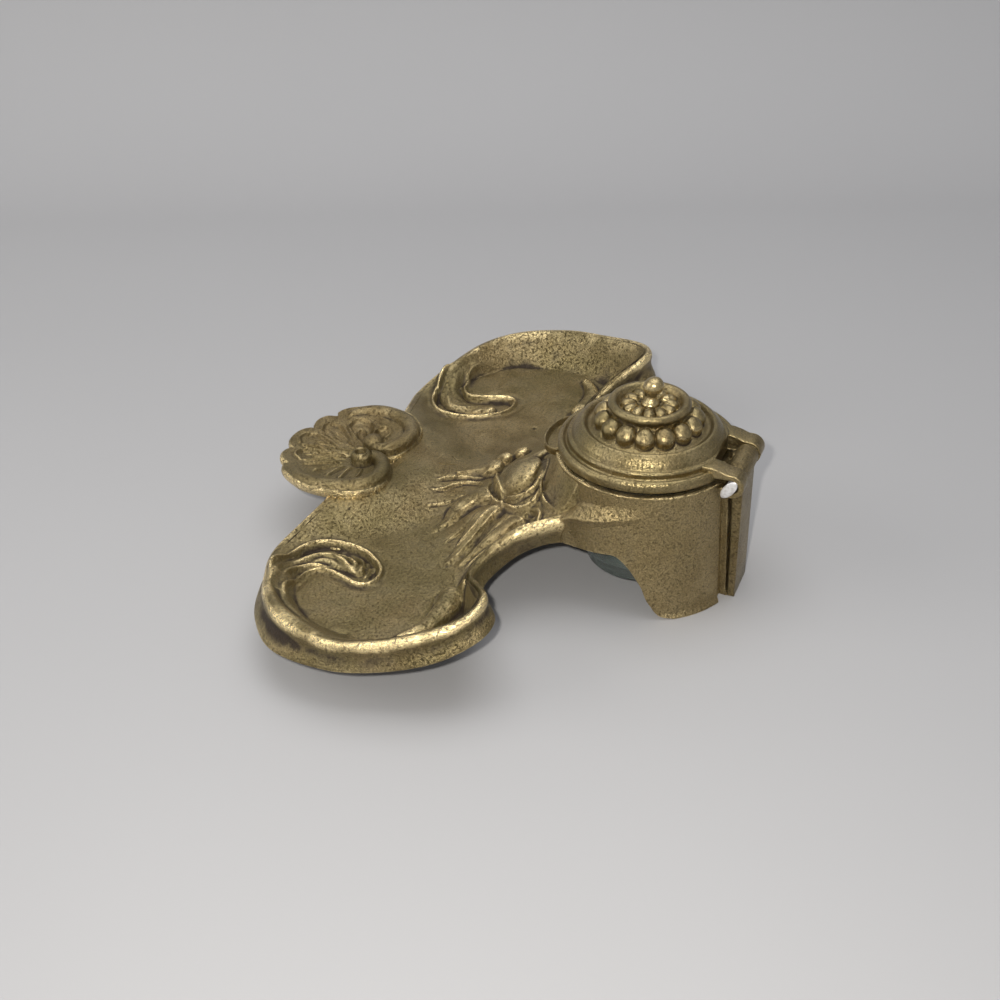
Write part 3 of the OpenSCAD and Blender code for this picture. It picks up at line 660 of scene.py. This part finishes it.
# Scallop shell on the front edge. Petals: turn in degrees, length, half width in degrees.
# Roll and outline are its +X half; a point of the roll has its radius.
shell = dict(
    hub=(0, -107), middle=(0, -113), bowl=22.8, bowlRise=3.0, bowlReach=30, columns=720, rows=116, wall=4.4,
    lean=0.07, rollHeight=24.9,
    eye=(5.4, -106.6, 3.9, 25.2),  # place, radius, height
    petals=[(0, 27.5, 12.5), (27, 26, 12), (57, 24, 14.5), (88, 19, 13)],
    ribs=[[(5.4, -112), (7, -120), (9.4, -129)], [(7.4, -112), (12, -119), (17.4, -125.4)],
          [(3.2, -112), (3.4, -121), (4, -132)], [(10, -110.5), (15, -112.4), (21, -113.4)],
          [(9, -112), (14, -116), (20, -119.6)], [(9.6, -108), (15, -108.6), (21.4, -108.4)],
          [(9, -104.4), (14.5, -103.4), (20.5, -103.2)]],
    loop=[(0.24, -0.35), (0.45, -0.62), (0.76, -0.92), (0.92, -0.78), (1, -0.36), (1.02, 0),
          (1, 0.36), (0.92, 0.78), (0.76, 0.92), (0.45, 0.62), (0.24, 0.35)],
    roll=[(5.5, -107, 1.7), (2.8, -103.6, 2), (4.8, -98.9, 2.5), (11.5, -95.6, 2.9), (18.5, -96.2, 3),
          (24, -100.8, 3), (26.8, -107.2, 2.9), (27.4, -114, 2.8), (25.6, -120.3, 2.4), (21.8, -124.6, 1.5)],
    outline=[(0, -136.9), (4, -136.3), (6.8, -134.4), (7.8, -132.6), (9.2, -133.8), (13, -134.2), (16.6, -132.4),
             (18.4, -128.9), (20.4, -129.6), (24, -127.6), (27.2, -123), (29.8, -117.5), (30.4, -110),
             (29.6, -103), (26.6, -97.6), (20.6, -93.2), (13, -92.3), (6.2, -94), (2.2, -97), (0, -99.6)],
)


# Bowl that rises with the square of the distance from the hub, with petals drawn by thin raised loops. On each
# side lies a round roll, a half circle across, that ends in an eye; the near eye has a pit.
def shellHeight(x, y):
    hubX, hubY = shell["hub"]
    ax = np.abs(x)
    r = np.hypot(x - hubX, y - hubY)
    h = shell["bowl"] + shell["bowlRise"] * np.clip(r / shell["bowlReach"], 0, 1.2) ** 2
    for turn, length, half in shell["petals"]:
        a, w = math.radians(turn), math.radians(half)

        def loop(reach, spread):
            return [(hubX + length * reach * s * math.sin(a + w * spread * q),
                     hubY - length * reach * s * math.cos(a + w * spread * q)) for s, q in shell["loop"]]

        sides = (1,) if turn == 0 else (1, -1) if turn < 50 else (-1,)
        for side in sides:
            bend = np.abs(np.arctan2(side * x - hubX, -(y - hubY)) - a) / w
            h -= 0.8 * smooth((0.95 - bend) / 0.3) * smooth((length * 0.96 - r) / 1.5) * smooth((r - 5) / 3)
            addWire(h, side * x, y, loop(0.97, 1.0), 0.85, 0.42, 0.08, 0.2)
            addWire(h, side * x, y, loop(0.74, 0.42), 0.75, 0.36, 0.08, 0.15)
    for rib in shell["ribs"]:
        addWire(h, x, y, rib, 0.8, 0.42, 0.2, 0.25)
    path = catmull(shell["roll"], 8)
    best = np.full(x.shape, -1e3)
    for a, b in zip(path, path[1:]):
        d = b[:2] - a[:2]
        t = np.clip(((ax - a[0]) * d[0] + (y - a[1]) * d[1]) / (d @ d), 0, 1)
        radius = a[2] + (b[2] - a[2]) * t
        dist = np.hypot(ax - a[0] - d[0] * t, y - a[1] - d[1] * t)
        top = shell["rollHeight"] + np.sqrt(np.clip(radius ** 2 - dist ** 2, 0, None))
        best = np.maximum(best, np.where(dist < radius, top, -1e3))
    blend = 0.3  # the larger height, rounded where the two are close
    h = blend * np.logaddexp(h / blend, np.maximum(best, 15) / blend)
    eyeX, eyeY, eyeRadius, eyeHeight = shell["eye"]
    eye = np.hypot(ax - eyeX, y - eyeY) / eyeRadius
    cup = eyeHeight + 3.3 * dome(eye) - np.where(x > 0, 2.6, 0) * smooth((0.62 - eye) / 0.18)
    return np.where(eye < 1, np.where(x > 0, cup, np.maximum(h, cup)), h)


# Rings about the middle, each a shrunken copy of the outline; below the edge a rounded lip, then the
# inside going back to the middle. Over the tray the lip reaches down into its floor.
def shellSurface():
    half = np.array(shell["outline"], float)
    full = np.vstack([half, half[-2:0:-1] * np.array([-1, 1])])
    steps = np.full(len(full), shell["columns"] // len(full))
    steps[:shell["columns"] - steps.sum()] += 1
    edge = catmull(full, steps, closed=True)
    middle = np.array(shell["middle"])
    t = (np.arange(1, shell["rows"] + 1) / shell["rows"])[:, None, None] ** 0.92
    face = middle + (edge - middle) * t
    z = shellHeight(face[..., 0], face[..., 1])
    rise = z[-1]
    over = smooth((edge[:, 1] + 109) / 6)
    bottom = (rise - shell["wall"]) * (1 - over) + 16.2 * over
    out = unit(edge - middle)
    rings = list(zip(face, z))
    rings += [(edge + out * push, rise + (bottom - rise) * share)
              for share, push in ((0.05, 0.3), (0.15, 0.6), (0.35, 0.8), (0.6, 0.6), (0.85, 0.05), (1.0, -0.9))]
    for shrink in (0.94, 0.8, 0.6, 0.35, 0.1):
        inner = middle + (edge - middle) * shrink
        r = np.hypot(inner[:, 0] - shell["hub"][0], inner[:, 1] - shell["hub"][1])
        flat = shell["bowl"] + shell["bowlRise"] * (r / shell["bowlReach"]) ** 2 - shell["wall"]
        rings.append((inner, bottom + (flat - bottom) * smooth((1 - shrink) / 0.4)))
    grid = np.array([np.concatenate([ring, height[:, None]], -1) for ring, height in rings])
    # one side is cast larger
    grid[..., 1] = middle[1] + (grid[..., 1] - middle[1]) * (1 + shell["lean"] * grid[..., 0] / 30)
    return grid


# Closed rings and a point at each end to a piece with its maps of crests and hollows, for polish and for patina with
# painted shade.
def makeRevolved(name, grid, material, flip, fineSteps=3, broadSteps=60):
    rows, n = grid.shape[:2]
    points = np.vstack([grid.reshape(-1, 3), grid[0].mean(0), grid[-1].mean(0)])
    k, first = np.arange(n), rows * n
    base = first - n
    start = np.stack([k * 0 + first, (k + 1) % n, k, k], -1)
    stop = np.stack([base + k, base + (k + 1) % n, k * 0 + first + 1, k * 0 + first + 1], -1)
    faces = np.vstack([gridQuads(rows, n, wrapCols=True), start, stop])
    if flip:
        faces = faces[:, ::-1]
    normals = vertexNormals(points, faces)
    wearAndShade = wearAndShadeMaps(grid, normals[:-2].reshape(grid.shape), fineSteps, broadSteps)
    wearAndShade = {k: np.concatenate([w.ravel(), [0, 0]]) for k, w in wearAndShade.items()}
    return makePiece(name, points, faces, material, normals, wearAndShade)


shellPiece = makeRevolved("scallop_shell", shellSurface(), brass("cast_brass_shell", darken=0.1), True)
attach(shellPiece, "stand")
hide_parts("pen_tray")
print("shell ready")

# Lid. Its section goes from the middle outwards, over the rim and back under: radius, height above the rim's
# underside. Beads and petals: count, radius of the ring, half length, half width, height, widening outwards.
lid = dict(
    columns=960, notch=25.4, notchHalf=8.3, beads=(15, 15.1, 3.8, 3.3, 3.4, 0.067),
    petals=(12, 6.9, 3, 1.9, 2.1, 0.145),
    section=[(0.6, 16.5), (3, 16.4), (6.5, 16.3), (9.3, 16.1), (10, 16.3), (10.6, 17.1), (11.2, 18.1), (12, 18.55),
             (12.9, 18.5), (13.6, 17.9), (13.85, 17), (13.5, 16.1), (12.8, 15.4), (12.5, 14.6), (12.7, 13.9),
             (13.4, 13.2), (14.8, 12), (16.6, 10.6), (18.4, 9.3), (19.7, 8.6), (20.6, 8.9), (21.3, 9.8), (22, 10.3),
             (22.8, 10.1), (24, 9), (25, 7.7), (25.45, 6.7), (25.75, 6.1), (26.3, 6), (26.85, 5.8), (27.15, 5.3),
             (27.1, 4.6), (27.15, 3.8), (27.6, 3.4), (28.1, 3.6), (28.8, 4.1), (29.6, 3.95), (30.25, 3.2),
             (30.5, 2.1), (30.35, 0.9), (29.8, 0.2), (28.8, 0), (27, 0), (25.4, 0.2), (25, 1.2), (24.6, 2.2),
             (22, 3.6), (18, 5.4), (15, 6.7), (12, 10), (9.6, 13), (5, 13.3), (0.6, 13.4)],
)


# Full turn in even steps.
def fullTurn(count):
    return np.linspace(0, 2 * math.pi, count, endpoint=False)


# Section turned about the axis: radius and height to x, y, z.
def revolve(section, angle):
    return np.stack([section[:, :1] * np.cos(angle), section[:, :1] * np.sin(angle), section[:, 1:] + 0 * angle], -1)


# Beads stand out along the section's normal: a blunt power of one less the squared distance from each bead's
# middle, along the section and round the turn, with a shallow groove about it.
def lidSurface():
    section = catmull(lid["section"], 7)
    d = np.gradient(section, axis=0)
    out = unit(np.stack([-d[:, 1], d[:, 0]], -1))
    run = np.concatenate([[0], np.cumsum(np.linalg.norm(np.diff(section, axis=0), axis=1))])
    upper = np.arange(len(section)) < len(section) * 0.7
    angle = fullTurn(lid["columns"])

    def beadRow(count, radius, halfLength, halfWidth, height, taper):
        middle = run[np.argmin(np.where(upper, np.abs(section[:, 0] - radius), 99))]
        turn = (angle * count / (2 * math.pi)) % 1 - 0.5
        across = turn[None] * 2 * math.pi / count * section[:, :1]
        wide = halfWidth * (1 + taper * (section[:, :1] - radius))
        q = ((run[:, None] - middle) / halfLength) ** 2 + (across / wide) ** 2
        bead = height * np.clip(1 - q, 0, 1) ** 0.42 - 0.25 * bell((q - 1.15) / 0.2)
        return np.where(upper[:, None], bead, 0)

    push = beadRow(*lid["beads"]) + beadRow(*lid["petals"])
    r = section[:, :1] + out[:, :1] * push
    z = section[:, 1:] + out[:, 1:] * push
    x, y = r * np.cos(angle), r * np.sin(angle)
    notch = (np.abs(x) < lid["notchHalf"]) & (y > lid["notch"])  # the rim is cut away between the hinge arms
    return np.stack([x, np.where(notch, lid["notch"], y), z + lidZ], -1)


lidMaterial = brass("cast_brass_lid", polishAll=0.04, roughness=0.31, bump=0.45, fleck=0.42)
lidPiece = makeRevolved("lid_cover", lidSurface(), lidMaterial, True, 4, 50)


# Points of an arc, from one turn in degrees to another.
def arcPoints(cy, cz, r, start, stop, count):
    q = np.radians(np.linspace(start, stop, count))
    return np.stack([cy + r * np.cos(q), cz + r * np.sin(q)], -1)


# Closed y, z outline carried along x with rounded edges: near both ends each ring is the outline moved
# inwards by a quarter circle.
def makeProfileBar(name, outline, x0, x1, material, bevel=0.35):
    p = np.asarray(outline, float)
    ahead, behind = np.roll(p, -1, 0), np.roll(p, 1, 0)
    tangent = unit(ahead - behind)
    inward = np.stack([-tangent[:, 1], tangent[:, 0]], -1)
    area = 0.5 * np.sum(p[:, 0] * ahead[:, 1] - ahead[:, 0] * p[:, 1])
    if area < 0:
        inward = -inward
    rings, turn = [], np.radians(np.linspace(0, 90, 5))
    for x, sign in ((x0, 1), (x1, -1)):
        part = [(x + sign * bevel * (1 - math.sin(q)), bevel * (1 - math.cos(q))) for q in turn]
        rings += part[::-1] if sign > 0 else part
    grid = np.array([np.concatenate([np.full((len(p), 1), x), p + inward * inset], -1) for x, inset in rings])
    rows, n = grid.shape[:2]
    faces = gridQuads(rows, n, wrapCols=True, flip=area > 0).tolist()
    ends = [list(range(n)), list(range(rows * n - 1, (rows - 1) * n - 1, -1))]
    faces += ends if area < 0 else [end[::-1] for end in ends]
    mesh = bpy.data.meshes.new(name)
    mesh.from_pydata(toScene(grid.reshape(-1, 3)).tolist(), [], faces)
    mesh.validate()
    count = len(mesh.polygons)
    mesh.polygons.foreach_set("use_smooth", [True] * (count - 2) + [False] * 2)
    return addObject(name, mesh, material)


curl = np.vstack([[(21.5, lidZ + 5.2), (22.5, lidZ + 5.6), (26, lidZ + 5.5), (28.6, lidZ + 4.9), (31, hz + 4.3)],
                  arcPoints(hy, hz, 4.3, 92, -165, 40), arcPoints(hy, hz, 2.35, -165, 95, 36),
                  [(30, lidZ + 1.9), (23.5, lidZ + 1.8)]])
arms = [makeProfileBar("lid_arm_" + side, curl, *xs, lidMaterial)
        for side, xs in (("near", (8.25, 14.9)), ("far", (-14.9, -8.25)))]

tab = dict(half=12.0, reach=6.0, root=28.6)


# Thumb tab: a half ellipse across by outwards, its top sunk by an eased step inside a thin raised rim.
def thumbTab():
    u = np.linspace(-1, 1, 97)[None, :]
    v = np.linspace(0, 1, 41)[:, None]
    reach = tab["root"] + (30 - tab["root"] + tab["reach"]) * dome(u) ** 0.9
    start = np.sqrt(np.clip(tab["root"] ** 2 - (tab["half"] * u) ** 2, 0, None))
    end = np.maximum(reach, start + 0.3)
    x = tab["half"] * u + 0 * v
    y = -(start + (end - start) * v)
    edge = np.minimum(1 - v, (1 - np.abs(u)) * 2.2)
    rim = bell((edge - 0.08) / 0.07)
    z = lidZ + 0.2 - 1.8 * smooth(edge / 0.22) + 0.9 * rim - 0.6 * v
    low = np.minimum(z - 0.8, lidZ - 2.4)
    return np.concatenate([np.stack([x, y, z], -1), np.stack([x, y, low], -1)[::-1]])


grid = thumbTab()
rows, n = grid.shape[:2]
points = grid.reshape(-1, 3)
faces = gridQuads(rows, n, wrapRows=True)
half = rows // 2
k = np.arange(half - 1)
leftEnd = np.stack([k * n, (k + 1) * n, (rows - 2 - k) * n, (rows - 1 - k) * n], -1)
faces = np.vstack([faces, leftEnd[:, ::-1], leftEnd + n - 1])
thumb = makePiece("lid_thumb_tab", points, faces[:, ::-1], lidMaterial)
for piece in (lidPiece, thumb, *arms):
    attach(piece, "lid")
    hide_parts("lid")

# Finial: ball on a waisted neck over a flared base, set a little crooked
knob = catmull([(0.05, 26.75), (1.1, 26.6), (2.2, 26), (3.05, 24.9), (3.4, 23.4), (3.05, 22), (2.2, 21),
                (1.65, 20.3), (1.6, 19.6), (1.9, 18.9), (2.3, 18.2), (2.9, 17.5), (3.1, 16.9), (3, 16.3),
                (1.5, 15.4), (0.1, 15.2)], 6)
knobLean = 0.13  # sideways for each millimetre of height
knobGrid = revolve(knob, fullTurn(96))
knobGrid[..., 1] += knobLean * (knob[:, 1:] - knob[-1, 1])
knobGrid[..., 2] += lidZ
knobBrass = brass("polished_brass_knob", polishAll=0.3, roughness=0.3, bump=0.2, fleck=0.2)
finial = makeRevolved("lid_finial", knobGrid, knobBrass, True, 2, 20)
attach(finial, "lid")
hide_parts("finial")
print("lid ready")

housing = dict(
    wall=2.6, grooveDepth=2, grooveIn=7.9, grooveOut=11.7, cutHalf=8.9, cutDepth=4.5,
    # lower edge seen from the side: distance behind the axis, height
    edge=[(-36, 24.4), (-28, 24.5), (-20, 24.6), (-10, 24.8), (-4, 24.9), (0, 24.4), (3.9, 20.5), (6.2, 16.9),
          (8.4, 13), (10, 8.4), (11.7, 5.2), (13.2, 2.7), (14.8, 1.2), (17.8, 0.3), (20, 0), (36, 0)],
    # shoulder where the tray's rim runs out on the wall: degrees round, height of its crest, swell
    shoulder=[(-60, 33, 6.5), (-40, 33.4, 6.2), (-31, 34.4, 5.9), (-24.5, 36.2, 4.5), (-12.6, 37.4, 3.1),
              (-4, 38.2, 1.9), (5, 38.9, 0.9), (14, 39.4, 0.3), (30, 39.8, 0)],
)


# Rings of the wall, outside from the collar down to the lower edge and inside back up. The radius is a cone,
# less a groove on each side of the plate, plus a swelling below a crest line that fades towards the back.
def housingSurface():
    turn = np.unique(np.round(np.concatenate([np.linspace(-180, 180, 721), np.linspace(66, 80, 120),
                     180 - np.linspace(66, 80, 120)]), 3))[:-1]
    q = np.radians(turn)
    cosQ, sinQ = np.cos(q), np.sin(q)
    edge = catmull(housing["edge"], 8)
    low = np.interp(32.2 * sinQ, edge[:, 0], edge[:, 1])
    side = np.degrees(np.arcsin(np.clip(sinQ, -1, 1)))
    ends = catmull(housing["shoulder"], 8)
    crestLine, swell = np.interp(side, ends[:, 0], ends[:, 1]), np.interp(side, ends[:, 0], ends[:, 2])
    across = np.abs(wallCone["low"] * cosQ)
    groove = smooth((across - housing["grooveIn"]) / 0.3) * (1 - smooth(across - housing["grooveOut"])) * (sinQ > 0)
    down = np.linspace(0, 1, 121)[:, None]
    cut = housing["cutDepth"] * smooth((housing["cutHalf"] - across) / 0.5) * (sinQ > 0)  # between the arms
    topEdge = wallCone["height"] - cut
    z = topEdge - 0.25 - (topEdge - 0.25 - low - 0.2) * down
    r = housingRadius(z, topEdge)
    below = crestLine - z
    body = smooth((below + 4.6) / 4.6)
    r = r + swell * body * (1 - 0.15 * smooth(below / 10)) \
        + 0.6 * bell(below / 1.2) * smooth((20 - side) / 30)
    r = r - groove * housing["grooveDepth"] * smooth((topEdge - 1.5 - z) / 1.5)
    r = r + 0.7 * smooth((2.6 - z) / 2.6) * (1 - groove) * smooth((sinQ - 0.3) / 0.2)
    rings = [(r[0] - inset, topEdge - 0.3 + lift)
             for inset, lift in ((2.55, 0.0), (2.3, 0.2), (1.4, 0.3), (0.3, 0.25))]
    rings += list(zip(r, z))
    rings += [(r[-1] - inset, low + 0.2 + lift)
              for inset, lift in ((0.25, -0.17), (1.1, -0.2), (2.2, -0.15), (2.5, 0.1))]
    for share in np.linspace(0, 1, 12)[1:]:
        height = low + 0.3 + (topEdge - 0.6 - low) * share
        rings.append((housingRadius(height, topEdge) - housing["wall"], height))
    return np.array([np.stack([radius * cosQ, radius * sinQ, height], -1) for radius, height in rings])


grid = housingSurface()
rows, n = grid.shape[:2]
faces = gridQuads(rows, n, wrapRows=True, wrapCols=True, flip=True)
points = grid.reshape(-1, 3)
normals = vertexNormals(points, faces)
# Crests and hollows of the wall: polish on the crests, patina and painted shade in the hollows.
housingWearAndShade = wearAndShadeMaps(grid, normals.reshape(grid.shape), 3, 40)
housingMaterial = brass("cast_brass_housing", warm=0.1, polishAll=0.1)
housingPiece = makePiece("housing_wall", points, faces, housingMaterial, normals,
                         {k: w.ravel() for k, w in housingWearAndShade.items()})
ledge = np.array([(29.6, 43.6), (29.0, 43.8), (20.8, 43.8), (20.4, 43.5), (20.4, 41.7), (20.8, 41.4), (29.4, 41.4),
                  (29.9, 41.8)])
ledgeColumns = 256
faces = gridQuads(len(ledge), ledgeColumns, wrapRows=True, wrapCols=True, flip=True)
ledgePoints = revolve(ledge, fullTurn(ledgeColumns)).reshape(-1, 3)
ledgePiece = makePiece("glass_shelf", ledgePoints, faces, housingMaterial, smoothShade=False)
for piece in (housingPiece, ledgePiece):
    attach(piece, "stand")
    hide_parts("well_housing")
print("housing ready")

# Hinge plate with its knuckle, seen from the side
post = np.vstack([[(35.1, 0.15), (35.1, 10), (35.1, 25), (35.1, 38), (35.1, hz - 3.6), (35.35, hz - 2.6)],
                  arcPoints(hy, hz, 3.9, -42, 205, 48), [(30.2, hz - 4.4), (31.5, 40), (32.2, 20), (32.6, 0.15)]])
postMaterial = brass("cast_brass_post", darken=0.1, grain=1.1)
postPiece = makeProfileBar("hinge_plate", post, -8.0, 8.0, postMaterial, 0.4)
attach(postPiece, "stand")
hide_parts("hinge_post")

# Pin beaten out to a long oval at each end. Rings of one end: x, half length, half width.
pinEnd = [(14.2, 1.5, 1.5), (14.6, 1.6, 1.5), (14.75, 3.4, 1.7), (14.9, 3.9, 1.9), (15.15, 3.85, 1.85),
          (15.35, 3.3, 1.5), (15.45, 2, 0.9), (15.47, 0.4, 0.2)]


# Ellipses along x, turned by the tilt and shifted a little downwards where they widen.
def pinSurface():
    q = fullTurn(64)
    tilt = math.radians(54)
    rows = []
    for side in (-1, 1):
        part = []
        for x, long, wide in pinEnd:
            a, b = long * np.cos(q), wide * np.sin(q)
            shift = 0.5 * smooth((x - 14.5) / 0.4)
            part.append(np.stack([side * x + 0 * q, hy - shift + a * math.cos(tilt) - b * math.sin(tilt),
                                  hz - shift * 2 + a * math.sin(tilt) + b * math.cos(tilt)], -1))
        rows += part[::-1] if side < 0 else part
    return np.array(rows)


steel = plainMaterial("peened_steel", 900.0, 3.0, ((0.78, 0.77, 0.76), (0.6, 0.58, 0.55)),
                      {"Roughness": 0.35, "Metallic": 0.6}, 0.0002, (0.35, 0.7))
pin = makeRevolved("hinge_rivet", pinSurface(), steel, False, 1, 2)
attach(pin, "stand")
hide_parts("hinge_pin")

# Front feet under the lobes
footPlace = (46, -96)
footSection = catmull([(0.1, 15.8), (3.6, 15.8), (4, 14.5), (4, 11), (4.2, 7), (4.6, 3.2), (5, 1.4), (5, 0.5),
                       (4.6, 0.05), (2, 0), (0.1, 0)], 4)
for side, sign in (("near", 1), ("far", -1)):
    grid = revolve(footSection, fullTurn(72)) + np.array([sign * footPlace[0], footPlace[1], 0])
    foot = makeRevolved("front_foot_" + side, grid, trayBrass, True, 2, 10)
    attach(foot, "stand")
    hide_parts("pen_tray")

glass = plainMaterial("thick_glass", 60.0, 2.0, ((0.52, 0.62, 0.56), (0.68, 0.76, 0.70)),
                      {"Roughness": 0.06, "Transmission Weight": 0.92, "IOR": 1.5}, 0.0004)
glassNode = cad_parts["glass_well"]
glassNode.data.materials.clear()
glassNode.data.materials.append(glass)
print("hinge, feet and glass ready")

# Camera: degrees round the well and up, roll in radians, lens in millimetres, place. Floor: colour, how much
# paler its clouds are, distance of the wall, radius of the bend and reach.
view = dict(turn=112.24, height=32.72, roll=-0.01799, lens=54.38, place=(424.73, 119.41, 309.66))
stageLook = dict(floor=(0.36, 0.355, 0.355), cloud=1.06, wallDistance=330, sweep=160, reach=1800.0)


# Flat floor that curves up into a wall behind the object, square to the view.
def sweep():
    turn = math.radians(view["turn"])
    away = np.array([-math.sin(turn), math.cos(turn)])
    side = np.array([away[1], -away[0]])
    r, start = stageLook["sweep"], stageLook["wallDistance"]
    q = np.linspace(0, math.pi / 2, 33)
    reach = stageLook["reach"]
    curve = [(start + r * math.sin(a), r - r * math.cos(a)) for a in q]
    section = np.array([(-reach, 0), *curve, (start + r, 1500)])
    across = np.array([-reach, reach])
    behind, height = section[:, :1], section[:, 1:]
    grid = np.stack([behind * away[0] + across * side[0], behind * away[1] + across * side[1],
                     height + 0 * across], -1)
    floor = stageLook["floor"]
    clouds = [c * stageLook["cloud"] for c in floor]
    paper = plainMaterial("pale_paper", 4.0, 2.0, (floor, clouds), {"Roughness": 0.7})
    return makePiece("floor_sweep", grid.reshape(-1, 3), gridQuads(len(section), 2), paper)


sweep()

world = bpy.data.worlds.new("studio")
bpy.context.scene.world = world
world.use_nodes = True
sky = world.node_tree.nodes["Background"]
sky.inputs["Color"].default_value = (0.93, 0.95, 1.0, 1)
sky.inputs["Strength"].default_value = 0.42


# Well millimetres to a point of the scene.
def place(x, y, z):
    return Vector((x, y + wellY, z)) * mm


# Square light that looks from its place at the target.
def areaLight(name, at, target, size, power, color):
    data = bpy.data.lights.new(name, "AREA")
    data.energy = power
    data.color = color
    data.size = size
    light = bpy.data.objects.new(name, data)
    bpy.context.scene.collection.objects.link(light)
    light.location = place(*at)
    light.rotation_euler = (place(*target) - light.location).to_track_quat("-Z", "Y").to_euler()


turn, lift = math.radians(view["turn"]), math.radians(view["height"])
back = Vector((math.sin(turn) * math.cos(lift), -math.cos(turn) * math.cos(lift), math.sin(lift)))
right = (-back).cross(Vector((0, 0, 1))).normalized()
upward = right.cross(-back)
c, s = math.cos(view["roll"]), math.sin(view["roll"])
right, upward = right * c + upward * s, upward * c - right * s
cameraData = bpy.data.cameras.new("camera")
cameraData.lens = view["lens"]
cameraData.sensor_width = 36
cameraData.clip_start = 0.01
camera = bpy.data.objects.new("camera", cameraData)
bpy.context.scene.collection.objects.link(camera)
rotation = Matrix((right, upward, back)).transposed().to_4x4()
camera.matrix_world = Matrix.Translation(place(*view["place"])) @ rotation
bpy.context.scene.camera = camera

# Lights: name, place, target, size in metres, power in watts, colour
middle = (0, -50, 15)
key = Vector(view["place"]) - right * 22 + upward * 18
areaLight("flash", tuple(key), middle, 0.012, 1.9, (1.0, 0.97, 0.92))
areaLight("overhead", (-150, -100, 900), middle, 0.9, 6.0, (0.97, 0.98, 1.0))
areaLight("left_fill", (350, -650, 380), middle, 0.5, 2.0, (1.0, 0.98, 0.95))

bpy.context.scene.view_settings.view_transform = "Standard"
print("scene ready")
